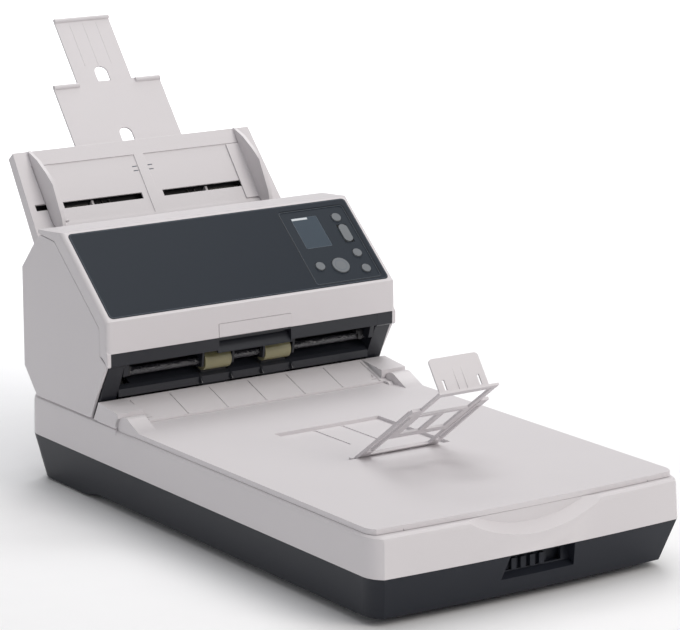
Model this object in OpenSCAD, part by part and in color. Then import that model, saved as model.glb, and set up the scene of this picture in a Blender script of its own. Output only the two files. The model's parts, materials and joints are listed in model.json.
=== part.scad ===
// Sheet fed document scanner: a flatbed base with a document lid, and a document feeder over its rear.
// Millimetres. X runs to the right, Y to the rear and Z up. The origin lies on the table, under the
// middle of the whole machine with its chute drawn out.

/* [Base] */
// Width of the base, where its two shells meet
base_w = 300; // [280:1:360]
// Depth of the base, front to rear
base_d = 577; // [560:1:700]
// Height of the joint between the lower and upper shells
split_z = 43; // [40:0.5:46]
// Height of the base's top, which the lid lies on
deck_z = 76.2; // [76:0.2:96]
// Height of the raised deck that the feeder stands on, over the top
rear_step = 2.1; // [1:0.1:3]
// Wall of the moulded shells
wall = 3; // [2.4:0.2:3.6]
// Radius of the upright corners
corner_r = 22; // [16:1:26]
// How far the front edge bows out at its middle
front_bow = 5; // [3:0.5:8]
// Ground clearance under the front of the lower shell
belly_z = 7.5; // [6:0.5:9]
// Ground clearance under the rear of the lower shell
skirt_z = 2; // [1.5:0.5:3]
// Half the width of the finger scoop under the lid's front edge
scoop_half = 72; // [50:1:90]
// Height of the scoop's lowest point under the base's top
scoop_drop = 20; // [14:1:22]

/* [Flatbed] */
// Width of the platen glass
glass_w = 228; // [220:1:240]
// Length of the platen glass
glass_l = 316; // [300:1:330]
// Thickness of the platen glass
glass_t = 3; // [2:0.5:4]
// Distance from the front of the base to the glass
glass_front = 26.5; // [24:0.5:34]
// Depth of the pocket that the document pad sinks into
pocket_deep = 3.7; // [3.4:0.1:4.5]
// Radius of the carriage's guide rod
rod_r = 4; // [3:0.5:5]

/* [Lid] */
// Thickness of the lid's rim
lid_t = 4.5; // [4:0.1:6]
// Distance from the base's side to the lid's side
lid_inset = 3.5; // [3:0.5:6]
// Distance from the base's front to the lid's front
lid_front = 9.5; // [8:0.5:12]
// Radius of the round knuckles at the lid's hinge
knuckle_r = 12.5; // [11:0.5:14]
// Width of a knuckle
knuckle_w = 18; // [14:1:20]
// Depth of the recess that the folded stacker lies in
recess_deep = 3; // [2.8:0.1:3.4]

/* [Stacker] */
// Half the width of the stacker's arm at its hinge
arm_half = 40; // [36:1:44]
// Length of the stacker's arm
arm_len = 100; // [90:1:106]
// Angle of the raised arm over the lid
arm_angle = 34.7; // [25:0.1:45]
// Thickness of the arm
arm_t = 2.5; // [2.2:0.1:2.6]
// Half the width of the extension
slider_half = 29; // [26:0.5:30]
// How far the extension reaches past the arm
slider_reach = 32; // [20:1:36]
// Height of the paper stop on the extension
paddle_h = 32; // [24:1:40]

/* [Feeder] */
// Distance from the base's side to the feeder's side
feeder_inset = 1; // [0.5:0.5:3]
// Thickness of a side cover with its rim
side_deep = 18; // [17:0.5:20]
// Height of the feeder's sides over the deck
feeder_h = 150.5; // [146:0.5:180]
// Depth of the feeder, from the lip to the rear cover
feeder_d = 158; // [150:1:166]
// Tilt of the front slope
slope_angle = 40.36; // [40:0.01:41]
// Length of the front slope
slope_len = 102.4; // [100:0.1:104]
// Radius of the paper path
path_r = 329; // [310:1:350]
// Radius of the rollers that grip the paper
roller_r = 9; // [8:0.5:10]
// Running clearance of a shaft in its bore, on the radius
shaft_fit = 0.05; // [0.02:0.01:0.09]

/* [Control panel] */
// Distance from the right end of the dark panel to the control bezel
bezel_margin = 5.5; // [4:0.5:12]
// Width of the control bezel
bezel_w = 70.5; // [64:0.5:74]
// Travel of a pressed button
press = 1.2; // [0.8:0.1:1.4]
// Clearance round a button
button_gap = 0.4; // [0.3:0.1:0.6]

/* [Chute] */
// Tilt of the paper chute
chute_angle = 51.5; // [48:0.5:55]
// Length of the chute's floor over the hopper
chute_len = 73.5; // [66:0.5:90]
// How much each side of the chute draws in towards its upper edge
chute_taper = 6; // [4:0.5:8]
// Half the distance between the opened side guides
guide_half = 109; // [104:1:112]
// Travel of each side guide
guide_travel = 80; // [60:1:80]
// Half the width of the first chute extension
ext_1_half = 56.5; // [50:0.5:60]
// Length of the first extension that shows
ext_1_len = 69; // [60:1:72]
// Half the width of the second chute extension
ext_2_half = 29; // [24:1:34]
// Length of the second extension that shows
ext_2_len = 72.5; // [60:0.5:76]

/* [Hidden] */
$fn = 48;
// Gap between pieces that move past each other
gap = 0.3;
// Colours of the finishes
white = "#d8d5d6";
dark = "#2c2f38";
slate = "#343c46";
black = "#17181c";
steel = "#b9bcc0";
button_grey = "#7e8184";

// Places on the base, measured from its middle
front_y = -base_d / 2;
rear_y = base_d / 2;
rear_deck_z = deck_z + rear_step;
glass_y = front_y + glass_front;
pocket_z = deck_z - pocket_deep;
side_taper = 9;
front_taper = 15;
rear_taper = 4;
skirt_y = rear_y - 118;
skirt_ramp = 24;
scoop_r = (pow(scoop_half, 2) + pow(scoop_drop, 2)) / (2 * scoop_drop);
scoop_deep = 10;
cavity_z = deck_z - 3.2;
platen_bed_z = pocket_z - glass_t - 3;

// Transport lock in the front of the lower shell
lock_x = 5;
lock_low = 19;
lock_deep = 8;
lock_w = 37;
lock_travel = 15;
lock_slot = [lock_w + lock_travel + 2, 10];
lock_slot_z = 32;

// Scanning carriage and its drive
carriage_y = glass_y + glass_l - 20;
carriage_l = 36;
carriage_top = pocket_z - glass_t - 2.6;
rod_z = 48;
belt_x = 30;
pulley_r = 6;

// Document lid
lid_z = deck_z + gap;
lid_top = lid_z + lid_t;
lid_half = base_w / 2 - lid_inset;
feeder_y = rear_y - feeder_d + 0.4;
hinge_y = feeder_y - 22.9;
hinge_z = deck_z + 1.8;
knuckle_x = lid_half - knuckle_w - 0.2;
ramp_front = hinge_y + 5.3;
lid_rear = ramp_front - 0.5;
pin_r = 3;

// Stacker: the arm's hinge, and the recess that it folds into
arm_y = hinge_y - 196;
arm_axis_z = lid_top - 1.4;
recess_half = 53;
recess_front = arm_y - 4.8;
recess_rear = arm_y + arm_len + 4.4;
arm_pin_r = 0.9;
paddle_half = 24;
paddle_seat = 7;

// Document feeder, measured from the foot of its lip on the deck
feeder_z = rear_deck_z;
lip_top = 91.5;
cover_axis = [15.1, 45.7];
knuckle_seam = 13.4;
shell_t = 2.6;
side_half = base_w / 2 - feeder_inset;
frame_x = side_half - side_deep;
post_inner = frame_x - 1;
side_outline = [
    [124.2, feeder_h - 3.2], [155.4, 116], [feeder_d, 24.9], [135.8, 0.5], [34.5, 0.5], [21.1, 24.8],
    [4.3, 50.3], [4.1, 53.3], [14.1, 58.7], [14, 83.9], [23.7, 92.2], [91.3, feeder_h - 2.4],
    [117.4, feeder_h]
];
slope_end = [slope_len * cos(slope_angle), lip_top + slope_len * sin(slope_angle)];
cover_outline = [
    [0, 63.2], [0, lip_top], slope_end, [121.1, feeder_h + 4.2], [121.5, feeder_h + 0.6],
    [117.4, feeder_h + 0.6], [91.1, feeder_h - 1.7], [23.3, 92.9], [13.5, 84.4], [13.5, 63.2]
];

// Paper path: an arc that leaves the exit at exit_angle and meets the chute at chute_angle
exit_angle = 24.1;
exit_nip = [25.1, 31.7];
path_mid = exit_nip + path_r * [-sin(exit_angle), cos(exit_angle)];
feed_angle = 38.5;
pick_angle = 46;
scan_angle = 31.5;
guide_gap = 1;
guide_t = 3;
path_half = frame_x - 1.4;
nip_gap = 0.15;
shaft_r = 3;
exit_roller_x = 31;
exit_roller_w = 27;
exit_shaft_r = 3.4;
belt_bay = 14;
pulley_x = -path_half + belt_bay / 2;
belt_t = 1.2;
pulley_clear = 0.3;
motor_at = [108, 22];
motor_pulley_r = 3.5;
drive_pulley_r = 4.2;
scan_half = 111.5;
scan_deep = 22;

// Control panel, along the slope
panel_sink = 1.4;
panel_low = 3;
panel_high = 100;
panel_half = side_half - 5;
bezel_x = panel_half - bezel_margin - bezel_w;
bezel_low = 6;
bezel_l = 87.4;
// Centre and radius of each round button: menu, manual feed, power, scan, stop
button_places = [
    [[bezel_x + 57.3, 79.3], 4.7], [[bezel_x + 58.5, 36.4], 4.5], [[bezel_x + 58.8, 17.9], 4.5],
    [[bezel_x + 35, 24.9], 8.5], [[bezel_x + 14.1, 27], 4.6]
];
rocker_at = [bezel_x + 58, 60.3];
rocker_half = [4.5, 10];
lcd_at = [bezel_x + 10.7, 48.5];
lcd_size = [27.8, 36.5];
board_deep = 7.5;

// Paper chute: its frame starts chute_rise up from where the path's arc ends
chute_rise = 30;
path_top = path_mid + path_r * [sin(chute_angle), -cos(chute_angle)];
chute_at = path_top + chute_rise * [cos(chute_angle), sin(chute_angle)];
chute_low = -26;
chute_half = frame_x - chute_taper;
floor_t = 2.6;
rack_t = 3;
ext_1_t = 2.2;
ext_2_t = 2;
rack_top = -floor_t - gap;
ext_1_top = rack_top - rack_t - gap - 0.1;
ext_2_top = ext_1_top - ext_1_t - gap - 0.1;
chute_back = ext_2_top - ext_2_t - gap - 0.1;
tray_wall = 3;
slot_s = 15.2;
slot_half = 3.2;
rack_pitch = 4.7;
pinion_teeth = 12;
pinion_r = rack_pitch * pinion_teeth / (2 * PI);
ext_hold = 12;
tray_tip = chute_at + (chute_len + ext_1_len + ext_2_len) * [cos(chute_angle), sin(chute_angle)];

// Y of the base's middle, which stands the whole machine centred over the origin
tray_back_y = feeder_y + tray_tip[0] - (ext_2_top - ext_2_t) * sin(chute_angle);
base_y = -round((tray_back_y + front_y) / 2);

// ---- frames that pieces are drawn in ----

module at_base() translate([0, base_y, 0]) children();

module at_feeder() at_base() translate([0, feeder_y, feeder_z]) children();

// Local Y runs up the front slope and Z stands out of it
module on_slope() at_feeder() translate([0, 0, lip_top]) rotate([slope_angle, 0, 0]) children();

// Local Y runs up the paper path at angle a and Z points to the path's centre
module on_path(a) at_feeder()
    translate([0, path_mid[0] + path_r * sin(a), path_mid[1] - path_r * cos(a)])
        rotate([a, 0, 0]) children();

// Local Y runs up the chute's floor and Z stands out of it
module on_chute() at_feeder() translate([0, chute_at[0], chute_at[1]]) rotate([chute_angle, 0, 0])
    children();

// Local -Y runs out along the stacker's arm, from its hinge
module on_arm() at_base() translate([0, arm_y, arm_axis_z]) rotate([-arm_angle, 0, 0]) children();

// ---- shapes that repeat ----

// A profile drawn in (y, z), stood along X from x0 to x1
module along_x(x0, x1) translate([x0, 0, 0]) rotate([90, 0, 90]) linear_extrude(x1 - x0) children();

// A round bar along X
module bar_x(r, x0, x1) translate([x0, 0, 0]) rotate([0, 90, 0]) cylinder(r = r, h = x1 - x0);

// A block from its low corner to its high corner
module block(low, high) translate(low) cube(high - low);

// A flat plate with round corners, w by l, from its low corner
module rounded_plate(w, l, t, r) linear_extrude(t) {
    translate([r, 0]) square([w - 2 * r, l]);
    translate([0, r]) square([w, l - 2 * r]);
    for (x = [r, w - r], y = [r, l - r]) translate([x, y]) circle(r);
}

// Plan of the base, drawn in at its sides, front and rear
module footprint(side, front, rear, r) {
    half = base_w / 2 - side;
    y0 = front_y + front;
    y1 = rear_y - rear;
    bow_r = (half * half + front_bow * front_bow) / (2 * front_bow);
    intersection() {
        union() {
            translate([-half, y0 + r]) square([2 * half, y1 - y0 - 2 * r]);
            translate([r - half, y0]) square([2 * (half - r), y1 - y0]);
            for (x = [r - half, half - r], y = [y0 + r, y1 - r]) translate([x, y]) circle(r);
        }
        translate([0, y0 + bow_r]) circle(bow_r, $fn = 720);
    }
}

// A thin slab of that plan
module slab(z, side, front, rear, r) translate([0, 0, z]) linear_extrude(0.02)
    footprint(side, front, rear, r);

// ---- base ----

module lower_block(inset) hull() {
    slab(inset > 0 ? belly_z + inset : skirt_z, side_taper + inset, front_taper + inset,
         rear_taper + inset, corner_r - inset);
    slab(split_z - 0.02, inset, inset, inset, corner_r - inset);
}

screw_places = [
    for (x = [-1, 1], y = [front_y + 88, -20, rear_y - 138]) [x * (base_w / 2 - 22), y]
];
boss_r = 4.5;
screw_r = 1.5;

module base_lower_case() color(dark) at_base() difference() {
    union() {
        difference() {
            lower_block(0);
            difference() {
                union() {
                    lower_block(wall);
                    block([-base_w / 2 + wall + 1, front_y + 30, split_z - 4],
                          [base_w / 2 - wall - 1, rear_y - 30, split_z + 1]);
                }
                block([lock_x - 50, front_y, 0], [lock_x + 50, front_y + 23, split_z + 2]);
            }
        }
        for (p = screw_places) translate([p[0], p[1], belly_z + 1])
            cylinder(r = boss_r + 2, h = 6);
    }
    // ground clearance under the front and middle
    along_x(-base_w, base_w) polygon([
        [front_y - 9, -1], [skirt_y + skirt_ramp, -1], [skirt_y + skirt_ramp, skirt_z],
        [skirt_y, belly_z], [front_y - 9, belly_z]
    ]);
    // recess of the transport lock, with a floor that slopes out
    intersection() {
        translate([0, front_y + 1, 0]) rotate([90, 0, 0]) translate([0, 0, -20]) linear_extrude(30)
            polygon([
                [lock_x - 36, lock_low], [lock_x + 36, lock_low],
                [lock_x + 31, split_z + 1], [lock_x - 31, split_z + 1]
            ]);
        along_x(-60, 60) polygon([
            [front_y - 20, lock_low], [front_y + 6, lock_low + 2], [front_y + lock_deep + 6, 26],
            [front_y + lock_deep + 6, split_z + 1], [front_y - 20, split_z + 1]
        ]);
    }
    // slot and pocket that the lock's slider runs in
    block([lock_x - lock_slot[0] / 2, front_y, lock_slot_z - lock_slot[1] / 2],
          [lock_x + lock_slot[0] / 2, front_y + 19, lock_slot_z + lock_slot[1] / 2]);
    block([lock_x - lock_slot[0] / 2 - 6, front_y + 17, lock_slot_z - lock_slot[1] / 2 - 3],
          [lock_x + lock_slot[0] / 2 + 6, front_y + 21, lock_slot_z + lock_slot[1] / 2 + 3]);
    for (p = screw_places) translate([p[0], p[1], belly_z - 1]) {
        cylinder(r = screw_r + 0.2, h = 12);
        cylinder(r = 3.4, h = 3.5);
    }
    // sockets in the rear wall
    for (s = socket_list) block([s[0] - s[1] / 2 - gap, rear_y - 12, s[2] - gap],
                                [s[0] + s[1] / 2 + gap, rear_y + 2, s[2] + s[3] + gap]);
}

// [x, width, low z, height] of each socket housing, and of the two data sockets' openings
socket_list = [[-112, 16, 20, 16], [-80, 15, 21, 13], [-56, 19, 20, 16]];
socket_holes = [[-80, 8.8, 23.4, 8.2], [-56, 12, 22.6, 8.4]];

module base_upper_case() color(white) at_base() difference() {
    union() {
        difference() {
            union() {
                upper_block(deck_z);
                intersection() {
                    upper_block(rear_deck_z);
                    block([-base_w, hinge_y + knuckle_r + 0.9, split_z], [base_w, rear_y + 5, 120]);
                }
            }
            difference() {
                hull() {
                    slab(split_z - 1, wall, wall, wall, corner_r - wall);
                    slab(cavity_z, wall + 2, wall + 2, wall + 2, corner_r - wall - 2);
                }
                // bed under the platen, trough under the hinge and wall behind the scoop
                block([-glass_w / 2 - 9, glass_y - 9, platen_bed_z],
                      [glass_w / 2 + 9, glass_y + glass_l + 15, 99]);
                block([-base_w, hinge_y - knuckle_r - 4, hinge_z - knuckle_r - 4],
                      [base_w, hinge_y + knuckle_r + 4, 99]);
                block([-scoop_half - 4, front_y, deck_z - scoop_drop - 4],
                      [scoop_half + 4, front_y + scoop_deep + 3, 99]);
            }
        }
        for (p = screw_places) translate([p[0], p[1], belly_z + 7.3])
            cylinder(r = boss_r, h = cavity_z - belly_z - 5);
    }
    // pocket for the document pad, the seat of the glass and the window under it
    block([-glass_w / 2 - 5, glass_y - 5, pocket_z], [glass_w / 2 + 5, glass_y + glass_l + 11, 99]);
    block([-glass_w / 2 - 0.2, glass_y - 0.2, pocket_z - glass_t],
          [glass_w / 2 + 0.2, glass_y + glass_l + 0.2, 99]);
    block([-glass_w / 2 + 4, glass_y + 4, 40], [glass_w / 2 - 4, glass_y + glass_l - 4, 99]);
    // trough that the lid's rear edge turns into, and round seats for its knuckles
    block([-knuckle_x, hinge_y - 8, hinge_z - 8.5], [knuckle_x, ramp_front + 1.6, 99]);
    for (x = [-1, 1]) translate([x > 0 ? 0 : -lid_half - knuckle_x, hinge_y, hinge_z])
        bar_x(knuckle_r + 0.4, knuckle_x - 0.4, lid_half + 0.4);
    // finger scoop
    translate([0, front_y - 1, deck_z - scoop_drop + scoop_r]) rotate([-90, 0, 0])
        cylinder(r1 = scoop_r, r2 = scoop_r - 9, h = scoop_deep + 1, $fn = 180);
    for (p = screw_places) translate([p[0], p[1], belly_z]) cylinder(r = screw_r + 0.05, h = 22);
}

module upper_block(top) hull() {
    slab(split_z + 0.15, 0, 0, 0, corner_r);
    slab(top - 5, 0.7, 0.9, 0.7, corner_r);
    slab(top - 1.6, 1.5, 1.7, 1.5, corner_r - 1);
    slab(top - 0.02, 3.4, 3.8, 3.4, corner_r - 3);
}

module rubber_feet() color(black) at_base() {
    for (x = [-1, 1]) {
        translate([x * (base_w / 2 - 36), front_y + 52, 0]) cylinder(r = 9, h = belly_z);
        translate([x * (base_w / 2 - 36), rear_y - 40, 0]) cylinder(r = 9, h = skirt_z);
    }
}

module case_screws() color(steel) at_base() for (p = screw_places)
    translate([p[0], p[1], belly_z + 0.4]) difference() {
        union() {
            cylinder(r = 2.9, h = 2.1);
            cylinder(r = screw_r, h = 18);
        }
        translate([0, 0, -0.1]) {
            block([-1.8, -0.35, 0], [1.8, 0.35, 1.2]);
            block([-0.35, -1.8, 0], [0.35, 1.8, 1.2]);
        }
    }

module platen_glass() color("#9fb3b0", 0.4) at_base()
    block([-glass_w / 2, glass_y, pocket_z - glass_t], [glass_w / 2, glass_y + glass_l, pocket_z]);

rod_front = glass_y - 6;
rod_rear = glass_y + glass_l + 14;

module guide_rod() color(steel) at_base() translate([0, 0, rod_z]) rotate([-90, 0, 0])
    translate([0, 0, rod_front]) cylinder(r = rod_r, h = rod_rear - rod_front);

module carriage() color(black) at_base() difference() {
    union() {
        block([-glass_w / 2 + 3, carriage_y - carriage_l, rod_z + 6],
              [glass_w / 2 - 3, carriage_y, carriage_top - 2]);
        block([-15, carriage_y - carriage_l, rod_z - 8], [15, carriage_y, rod_z + 7]);
        block([belt_x - 4, carriage_y - 24, rod_z + pulley_r + 2.6],
              [belt_x + 4, carriage_y - 12, rod_z + pulley_r + 4]);
    }
    translate([0, carriage_y - carriage_l - 1, rod_z]) rotate([-90, 0, 0])
        cylinder(r = rod_r + shaft_fit, h = carriage_l + 2);
    block([belt_x - 6, carriage_y - carriage_l - 1, rod_z],
          [belt_x + 6, carriage_y + 1, rod_z + pulley_r + 2.2]);
}

module lamp_bar() color("#cfe0e6") at_base()
    block([-glass_w / 2 + 8, carriage_y - 26, carriage_top - 2],
          [glass_w / 2 - 8, carriage_y - 12, carriage_top]);

belt_front = glass_y + 6;
belt_rear = glass_y + glass_l + 4;

module carriage_belt() color(black) at_base() along_x(belt_x - 3, belt_x + 3) difference() {
    hull() for (y = [belt_front, belt_rear]) translate([y, rod_z]) circle(pulley_r + 1.6);
    hull() for (y = [belt_front, belt_rear]) translate([y, rod_z]) circle(pulley_r + 0.3);
}

module carriage_pulley() color(steel) at_base() translate([0, belt_rear, rod_z]) difference() {
    union() {
        bar_x(pulley_r, belt_x - 3, belt_x + 3.5);
        bar_x(pulley_r + 1.6, belt_x + 3.4, belt_x + 4.4);
    }
    bar_x(1.55, belt_x - 4, belt_x + 5);
}

module main_board() color("#2f5d43") at_base() {
    block([-116, rear_y - 100, 13], [20, rear_y - 14, 14.6]);
    block([-70, rear_y - 80, 14.6], [-44, rear_y - 54, 17]);
    block([-30, rear_y - 70, 14.6], [-14, rear_y - 50, 18]);
}

module socket_body(s) block([s[0] - s[1] / 2, rear_y - 18, s[2]],
                            [s[0] + s[1] / 2, rear_y - 1.2, s[2] + s[3]]);

// Sockets of the power lead, the computer and the network
module rear_sockets() color(black) at_base() {
    s = socket_list[0];
    middle = [s[0], rear_y, s[2] + s[3] / 2];
    difference() {
        socket_body(s);
        translate(middle) rotate([90, 0, 0]) cylinder(r = 4.2, h = 11);
    }
    translate(middle) rotate([90, 0, 0]) translate([0, 0, 2.5]) cylinder(r = 1, h = 9);
    for (i = [0, 1]) difference() {
        h = socket_holes[i];
        socket_body(socket_list[i + 1]);
        block([h[0] - h[1] / 2, rear_y - 12, h[2]], [h[0] + h[1] / 2, rear_y, h[2] + h[3]]);
    }
}

module lock_switch() color(slate) at_base() {
    x0 = lock_x - lock_slot[0] / 2 + gap;
    low = lock_slot_z - lock_slot[1] / 2 + gap;
    high = lock_slot_z + lock_slot[1] / 2 - gap;
    block([x0, front_y + 15.4, low], [x0 + lock_w, front_y + 18, high]);
    block([x0 - 5, front_y + 17.4, low - 2.5], [x0 + lock_w + 5, front_y + 20.6, high + 2.5]);
    for (i = [0 : 3]) block([x0 + 4 + i * 9, front_y + 11.5, low],
                            [x0 + 9 + i * 9, front_y + 15.4, high]);
}

// ---- lid and stacker ----

module lid_plan(inset) {
    half = lid_half - inset;
    y0 = front_y + lid_front + inset;
    r = 16 - inset;
    bow_r = (half * half + front_bow * front_bow) / (2 * front_bow);
    intersection() {
        union() {
            translate([-half, y0 + r]) square([2 * half, lid_rear - inset - y0 - r]);
            translate([r - half, y0]) square([2 * (half - r), 2 * r]);
            for (x = [r - half, half - r]) translate([x, y0 + r]) circle(r);
        }
        translate([0, y0 + bow_r]) circle(bow_r, $fn = 720);
    }
}

tray_t = 1.4;
recess_z = lid_top - recess_deep;
ear_w = 4.4;

module lid_shell() color(white) at_base() difference() {
    union() {
        difference() {
            translate([0, 0, lid_z]) linear_extrude(lid_t) lid_plan(0);
            difference() {
                translate([0, 0, lid_z - 1]) linear_extrude(lid_t - 1) lid_plan(wall);
                block([-recess_half - 2, recess_front - 2, recess_z - tray_t],
                      [recess_half + 2, recess_rear + 2, lid_top]);
                block([-lid_half, hinge_y - knuckle_r - 8, lid_z], [lid_half, hinge_y + 9, lid_top]);
            }
            // clearance round the base's knuckle seats and the ramp
            block([-lid_half - 1, hinge_y - 1, lid_z - 1], [-knuckle_x, hinge_y + 9, lid_top + 1]);
            block([knuckle_x, hinge_y - 1, lid_z - 1], [lid_half + 1, hinge_y + 9, lid_top + 1]);
        }
        for (x = [knuckle_x, -lid_half]) {
            translate([0, hinge_y, hinge_z]) bar_x(knuckle_r, x, x + knuckle_w + 0.2);
            along_x(x, x + knuckle_w + 0.2) polygon([
                [hinge_y - 3, hinge_z + knuckle_r - 0.45], [hinge_y - 24, lid_top],
                [hinge_y - 24, lid_z], [hinge_y - 3, lid_z]
            ]);
        }
    }
    // notches for the ears that carry the hinge pins, and bores for the pins
    for (x = [-knuckle_x, knuckle_x - ear_w - 0.8]) block([x, hinge_y - 5.8, lid_z - 5],
                                                     [x + ear_w + 0.8, lid_rear + 1, lid_top + 2]);
    for (x = [-1, 1]) translate([x * (knuckle_x + 5), hinge_y, hinge_z])
        bar_x(pin_r + shaft_fit, -6, 6);
    // recess of the stacker with its two long grooves
    difference() {
        block([-recess_half, recess_front, recess_z], [recess_half, recess_rear, lid_top + 1]);
        for (x = [-1, 1]) block([x * (arm_half + 2) - 1.5, arm_y - 1.4, recess_z - 1],
                                [x * (arm_half + 2) + 1.5, arm_y + 3, lid_top]);
    }
    for (x = [-14, 14]) block([x - 1.5, recess_rear - 58, recess_z - 0.8],
                              [x + 1.5, recess_rear - 1.5, recess_z + 1]);
    translate([0, arm_y, arm_axis_z])
        bar_x(arm_pin_r + shaft_fit, -arm_half - 3.2, arm_half + 3.2);
    // small seams across the front rim
    for (x = [-118, 118])
        block([x - 0.4, front_y, lid_z - 1], [x + 0.4, front_y + lid_front + 9, lid_z + 1]);
}

module lid_inner_plate() color(white) at_base()
    block([-glass_w / 2 - 3, glass_y - 3, pocket_z + 2.5],
          [glass_w / 2 + 3, glass_y + glass_l + 8, recess_z - tray_t]);

module document_pad() color("#f2f2f0") at_base()
    block([-glass_w / 2, glass_y, pocket_z + gap], [glass_w / 2, glass_y + glass_l, pocket_z + 2.5]);

module lid_hinge_pins() color(steel) at_base() for (x = [-1, 1])
    translate([x * (knuckle_x + 2.5), hinge_y, hinge_z]) bar_x(pin_r, -7, 7);

module stacker_arm() color(white) on_arm() difference() {
    union() {
        translate([0, 0, -arm_t / 2]) linear_extrude(arm_t) difference() {
            polygon([
                [-arm_half, 0.6], [arm_half, 0.6], [arm_half - 2.5, -arm_len], [2.5 - arm_half, -arm_len]
            ]);
            translate([-slider_half - 0.4, -arm_len - 1]) square([2 * slider_half + 0.8, arm_len - 8]);
            for (x = [-1, 1]) polygon([
                [x * (slider_half + 2.6), -16], [x * (arm_half - 3.2), -16],
                [x * (arm_half - 4.6), -arm_len + 12], [x * (slider_half + 2.6), -arm_len + 12]
            ]);
        }
        bar_x(arm_t / 2, -arm_half, arm_half);
        bar_x(arm_pin_r, -arm_half - 2.8, arm_half + 2.8);
    }
    for (x = [-14, 14]) block([x - 1, -6, -2], [x + 1, -2, 2]);
}

slider_tip = arm_len + slider_reach;
paddle_y = -slider_tip + paddle_seat;
paddle_pin_r = 0.7;

module stacker_extension() color(white) on_arm() difference() {
    translate([0, 0, -1]) linear_extrude(2) difference() {
        translate([-slider_half, -slider_tip]) square([2 * slider_half, 92]);
        translate([-paddle_half - 0.4, -slider_tip + 4.5]) square([2 * paddle_half + 0.8, paddle_h + 8]);
        for (x = [-1, 1]) translate([x * 12.5 - 9.5, -slider_tip + paddle_h + 17]) square([19, 34]);
    }
    translate([0, paddle_y, 0]) bar_x(paddle_pin_r + shaft_fit, -slider_half + 1.5, slider_half - 1.5);
}

module stacker_paddle() color(white) on_arm() translate([0, paddle_y, 0]) difference() {
    union() {
        block([-paddle_half, -0.8, 0], [paddle_half, 0.8, paddle_h]);
        bar_x(0.9, -paddle_half, paddle_half);
        bar_x(paddle_pin_r, -paddle_half - 2.5, paddle_half + 2.5);
        for (x = [-1, 1]) along_x(x * 5 - 0.9, x * 5 + 0.9)
            polygon([[-0.5, 2], [1.15, 2], [1.15, paddle_h - 12], [-0.5, paddle_h - 2]]);
    }
    for (x = [-1, 1]) block([x * 17 - 1.2, -2, 4], [x * 17 + 1.2, 2, 13]);
}

ramp_top = [feeder_y + 19.1, feeder_z + 17.5];
ramp_toe = [ramp_front, lid_top + 1.6];
ramp_slope = atan2(ramp_top[1] - ramp_toe[1], ramp_top[0] - ramp_toe[0]);
groove_pitch = 40;
catch_x = knuckle_x - ear_w - 3;

module eject_ramp() color(white) at_base() difference() {
    union() {
        along_x(-side_half, side_half) polygon([
            [ramp_toe[0], lid_top - 0.8], ramp_toe, ramp_top, ramp_top + [0.9, -0.3],
            [feeder_y + 22.6, feeder_z + 0.1], [hinge_y + knuckle_r + 1.2, feeder_z + 0.1],
            [ramp_toe[0] + 5, lid_top - 0.8]
        ]);
        for (x = [knuckle_x - ear_w - 0.4, -side_half]) {
            w = x > 0 ? side_half - x : side_half - knuckle_x + ear_w + 0.4;
            along_x(x, x + w) polygon([
                [hinge_y + 8.3, hinge_z + knuckle_r + 1.6], ramp_top, [feeder_y + 29, feeder_z + 0.8],
                [hinge_y + knuckle_r + 1.2, feeder_z + 0.1], [hinge_y + 8.3, hinge_z + knuckle_r - 4]
            ]);
        }
        for (x = [knuckle_x - ear_w - 0.4, -knuckle_x + 0.4]) translate([0, hinge_y, hinge_z]) {
            bar_x(5, x, x + ear_w);
            block([x, 0, -1.6], [x + ear_w, 9, 5]);
        }
    }
    // round clearance for the lid's knuckles
    for (x = [knuckle_x - 0.4, -side_half - 1]) translate([0, hinge_y, hinge_z])
        bar_x(knuckle_r + 0.6, x, x + side_half - knuckle_x + 1.4);
    for (x = [-1, 1]) {
        translate([x * (knuckle_x - 2), hinge_y, hinge_z]) bar_x(pin_r, -4, 4);
        // room behind the cheek for the feeder's side cover and dark post
        along_x(x * side_half - 19.5, x * side_half + 19.5) polygon([
            [feeder_y + 20.3, feeder_z + 25], ramp_top + [1.6, 1], [feeder_y + 31.6, feeder_z],
            [feeder_y + 60, feeder_z]
        ]);
    }
    translate([0, ramp_toe[0], ramp_toe[1]]) rotate([ramp_slope, 0, 0]) {
        for (x = [-3 : 3]) {
            translate([x * groove_pitch, 0, 0]) block([-0.5, 1.6, -0.8], [0.5, 36, 2]);
            translate([x * groove_pitch, 1.6, -0.9]) cylinder(r = 1.1, h = 3);
        }
        // moulded seams and the small catch pocket beside each end groove
        for (m = [0, 1]) mirror([m, 0, 0]) {
            block([catch_x, 5, -0.7], [catch_x + 0.7, 25, 2]);
            block([catch_x - 7, 5, -0.7], [catch_x, 5.7, 2]);
            translate([catch_x - 7, 8, -1.4]) linear_extrude(4) polygon([[0, 0], [4.4, 0], [4.4, 5]]);
        }
    }
}

// ---- feeder body ----

module side_profile(inset) offset(delta = -inset) polygon(side_outline);

// A side cover, open towards the inside: its outer face stands at x1 = side_half
module side_cover_shape() difference() {
    along_x(frame_x, side_half) side_profile(0);
    along_x(frame_x - 1, side_half - wall) side_profile(wall);
    // room for the frame's post at the paper exit
    along_x(frame_x - 1, side_half - wall) polygon([
        [0, -1], [0, 60], [13.6, 60], [13.6, 64], [34, 64], [44, 20], [38, -1]
    ]);
}

module left_side_cover() color(white) at_feeder() mirror([1, 0, 0]) side_cover_shape();

module right_side_cover() color(white) at_feeder() side_cover_shape();

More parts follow.
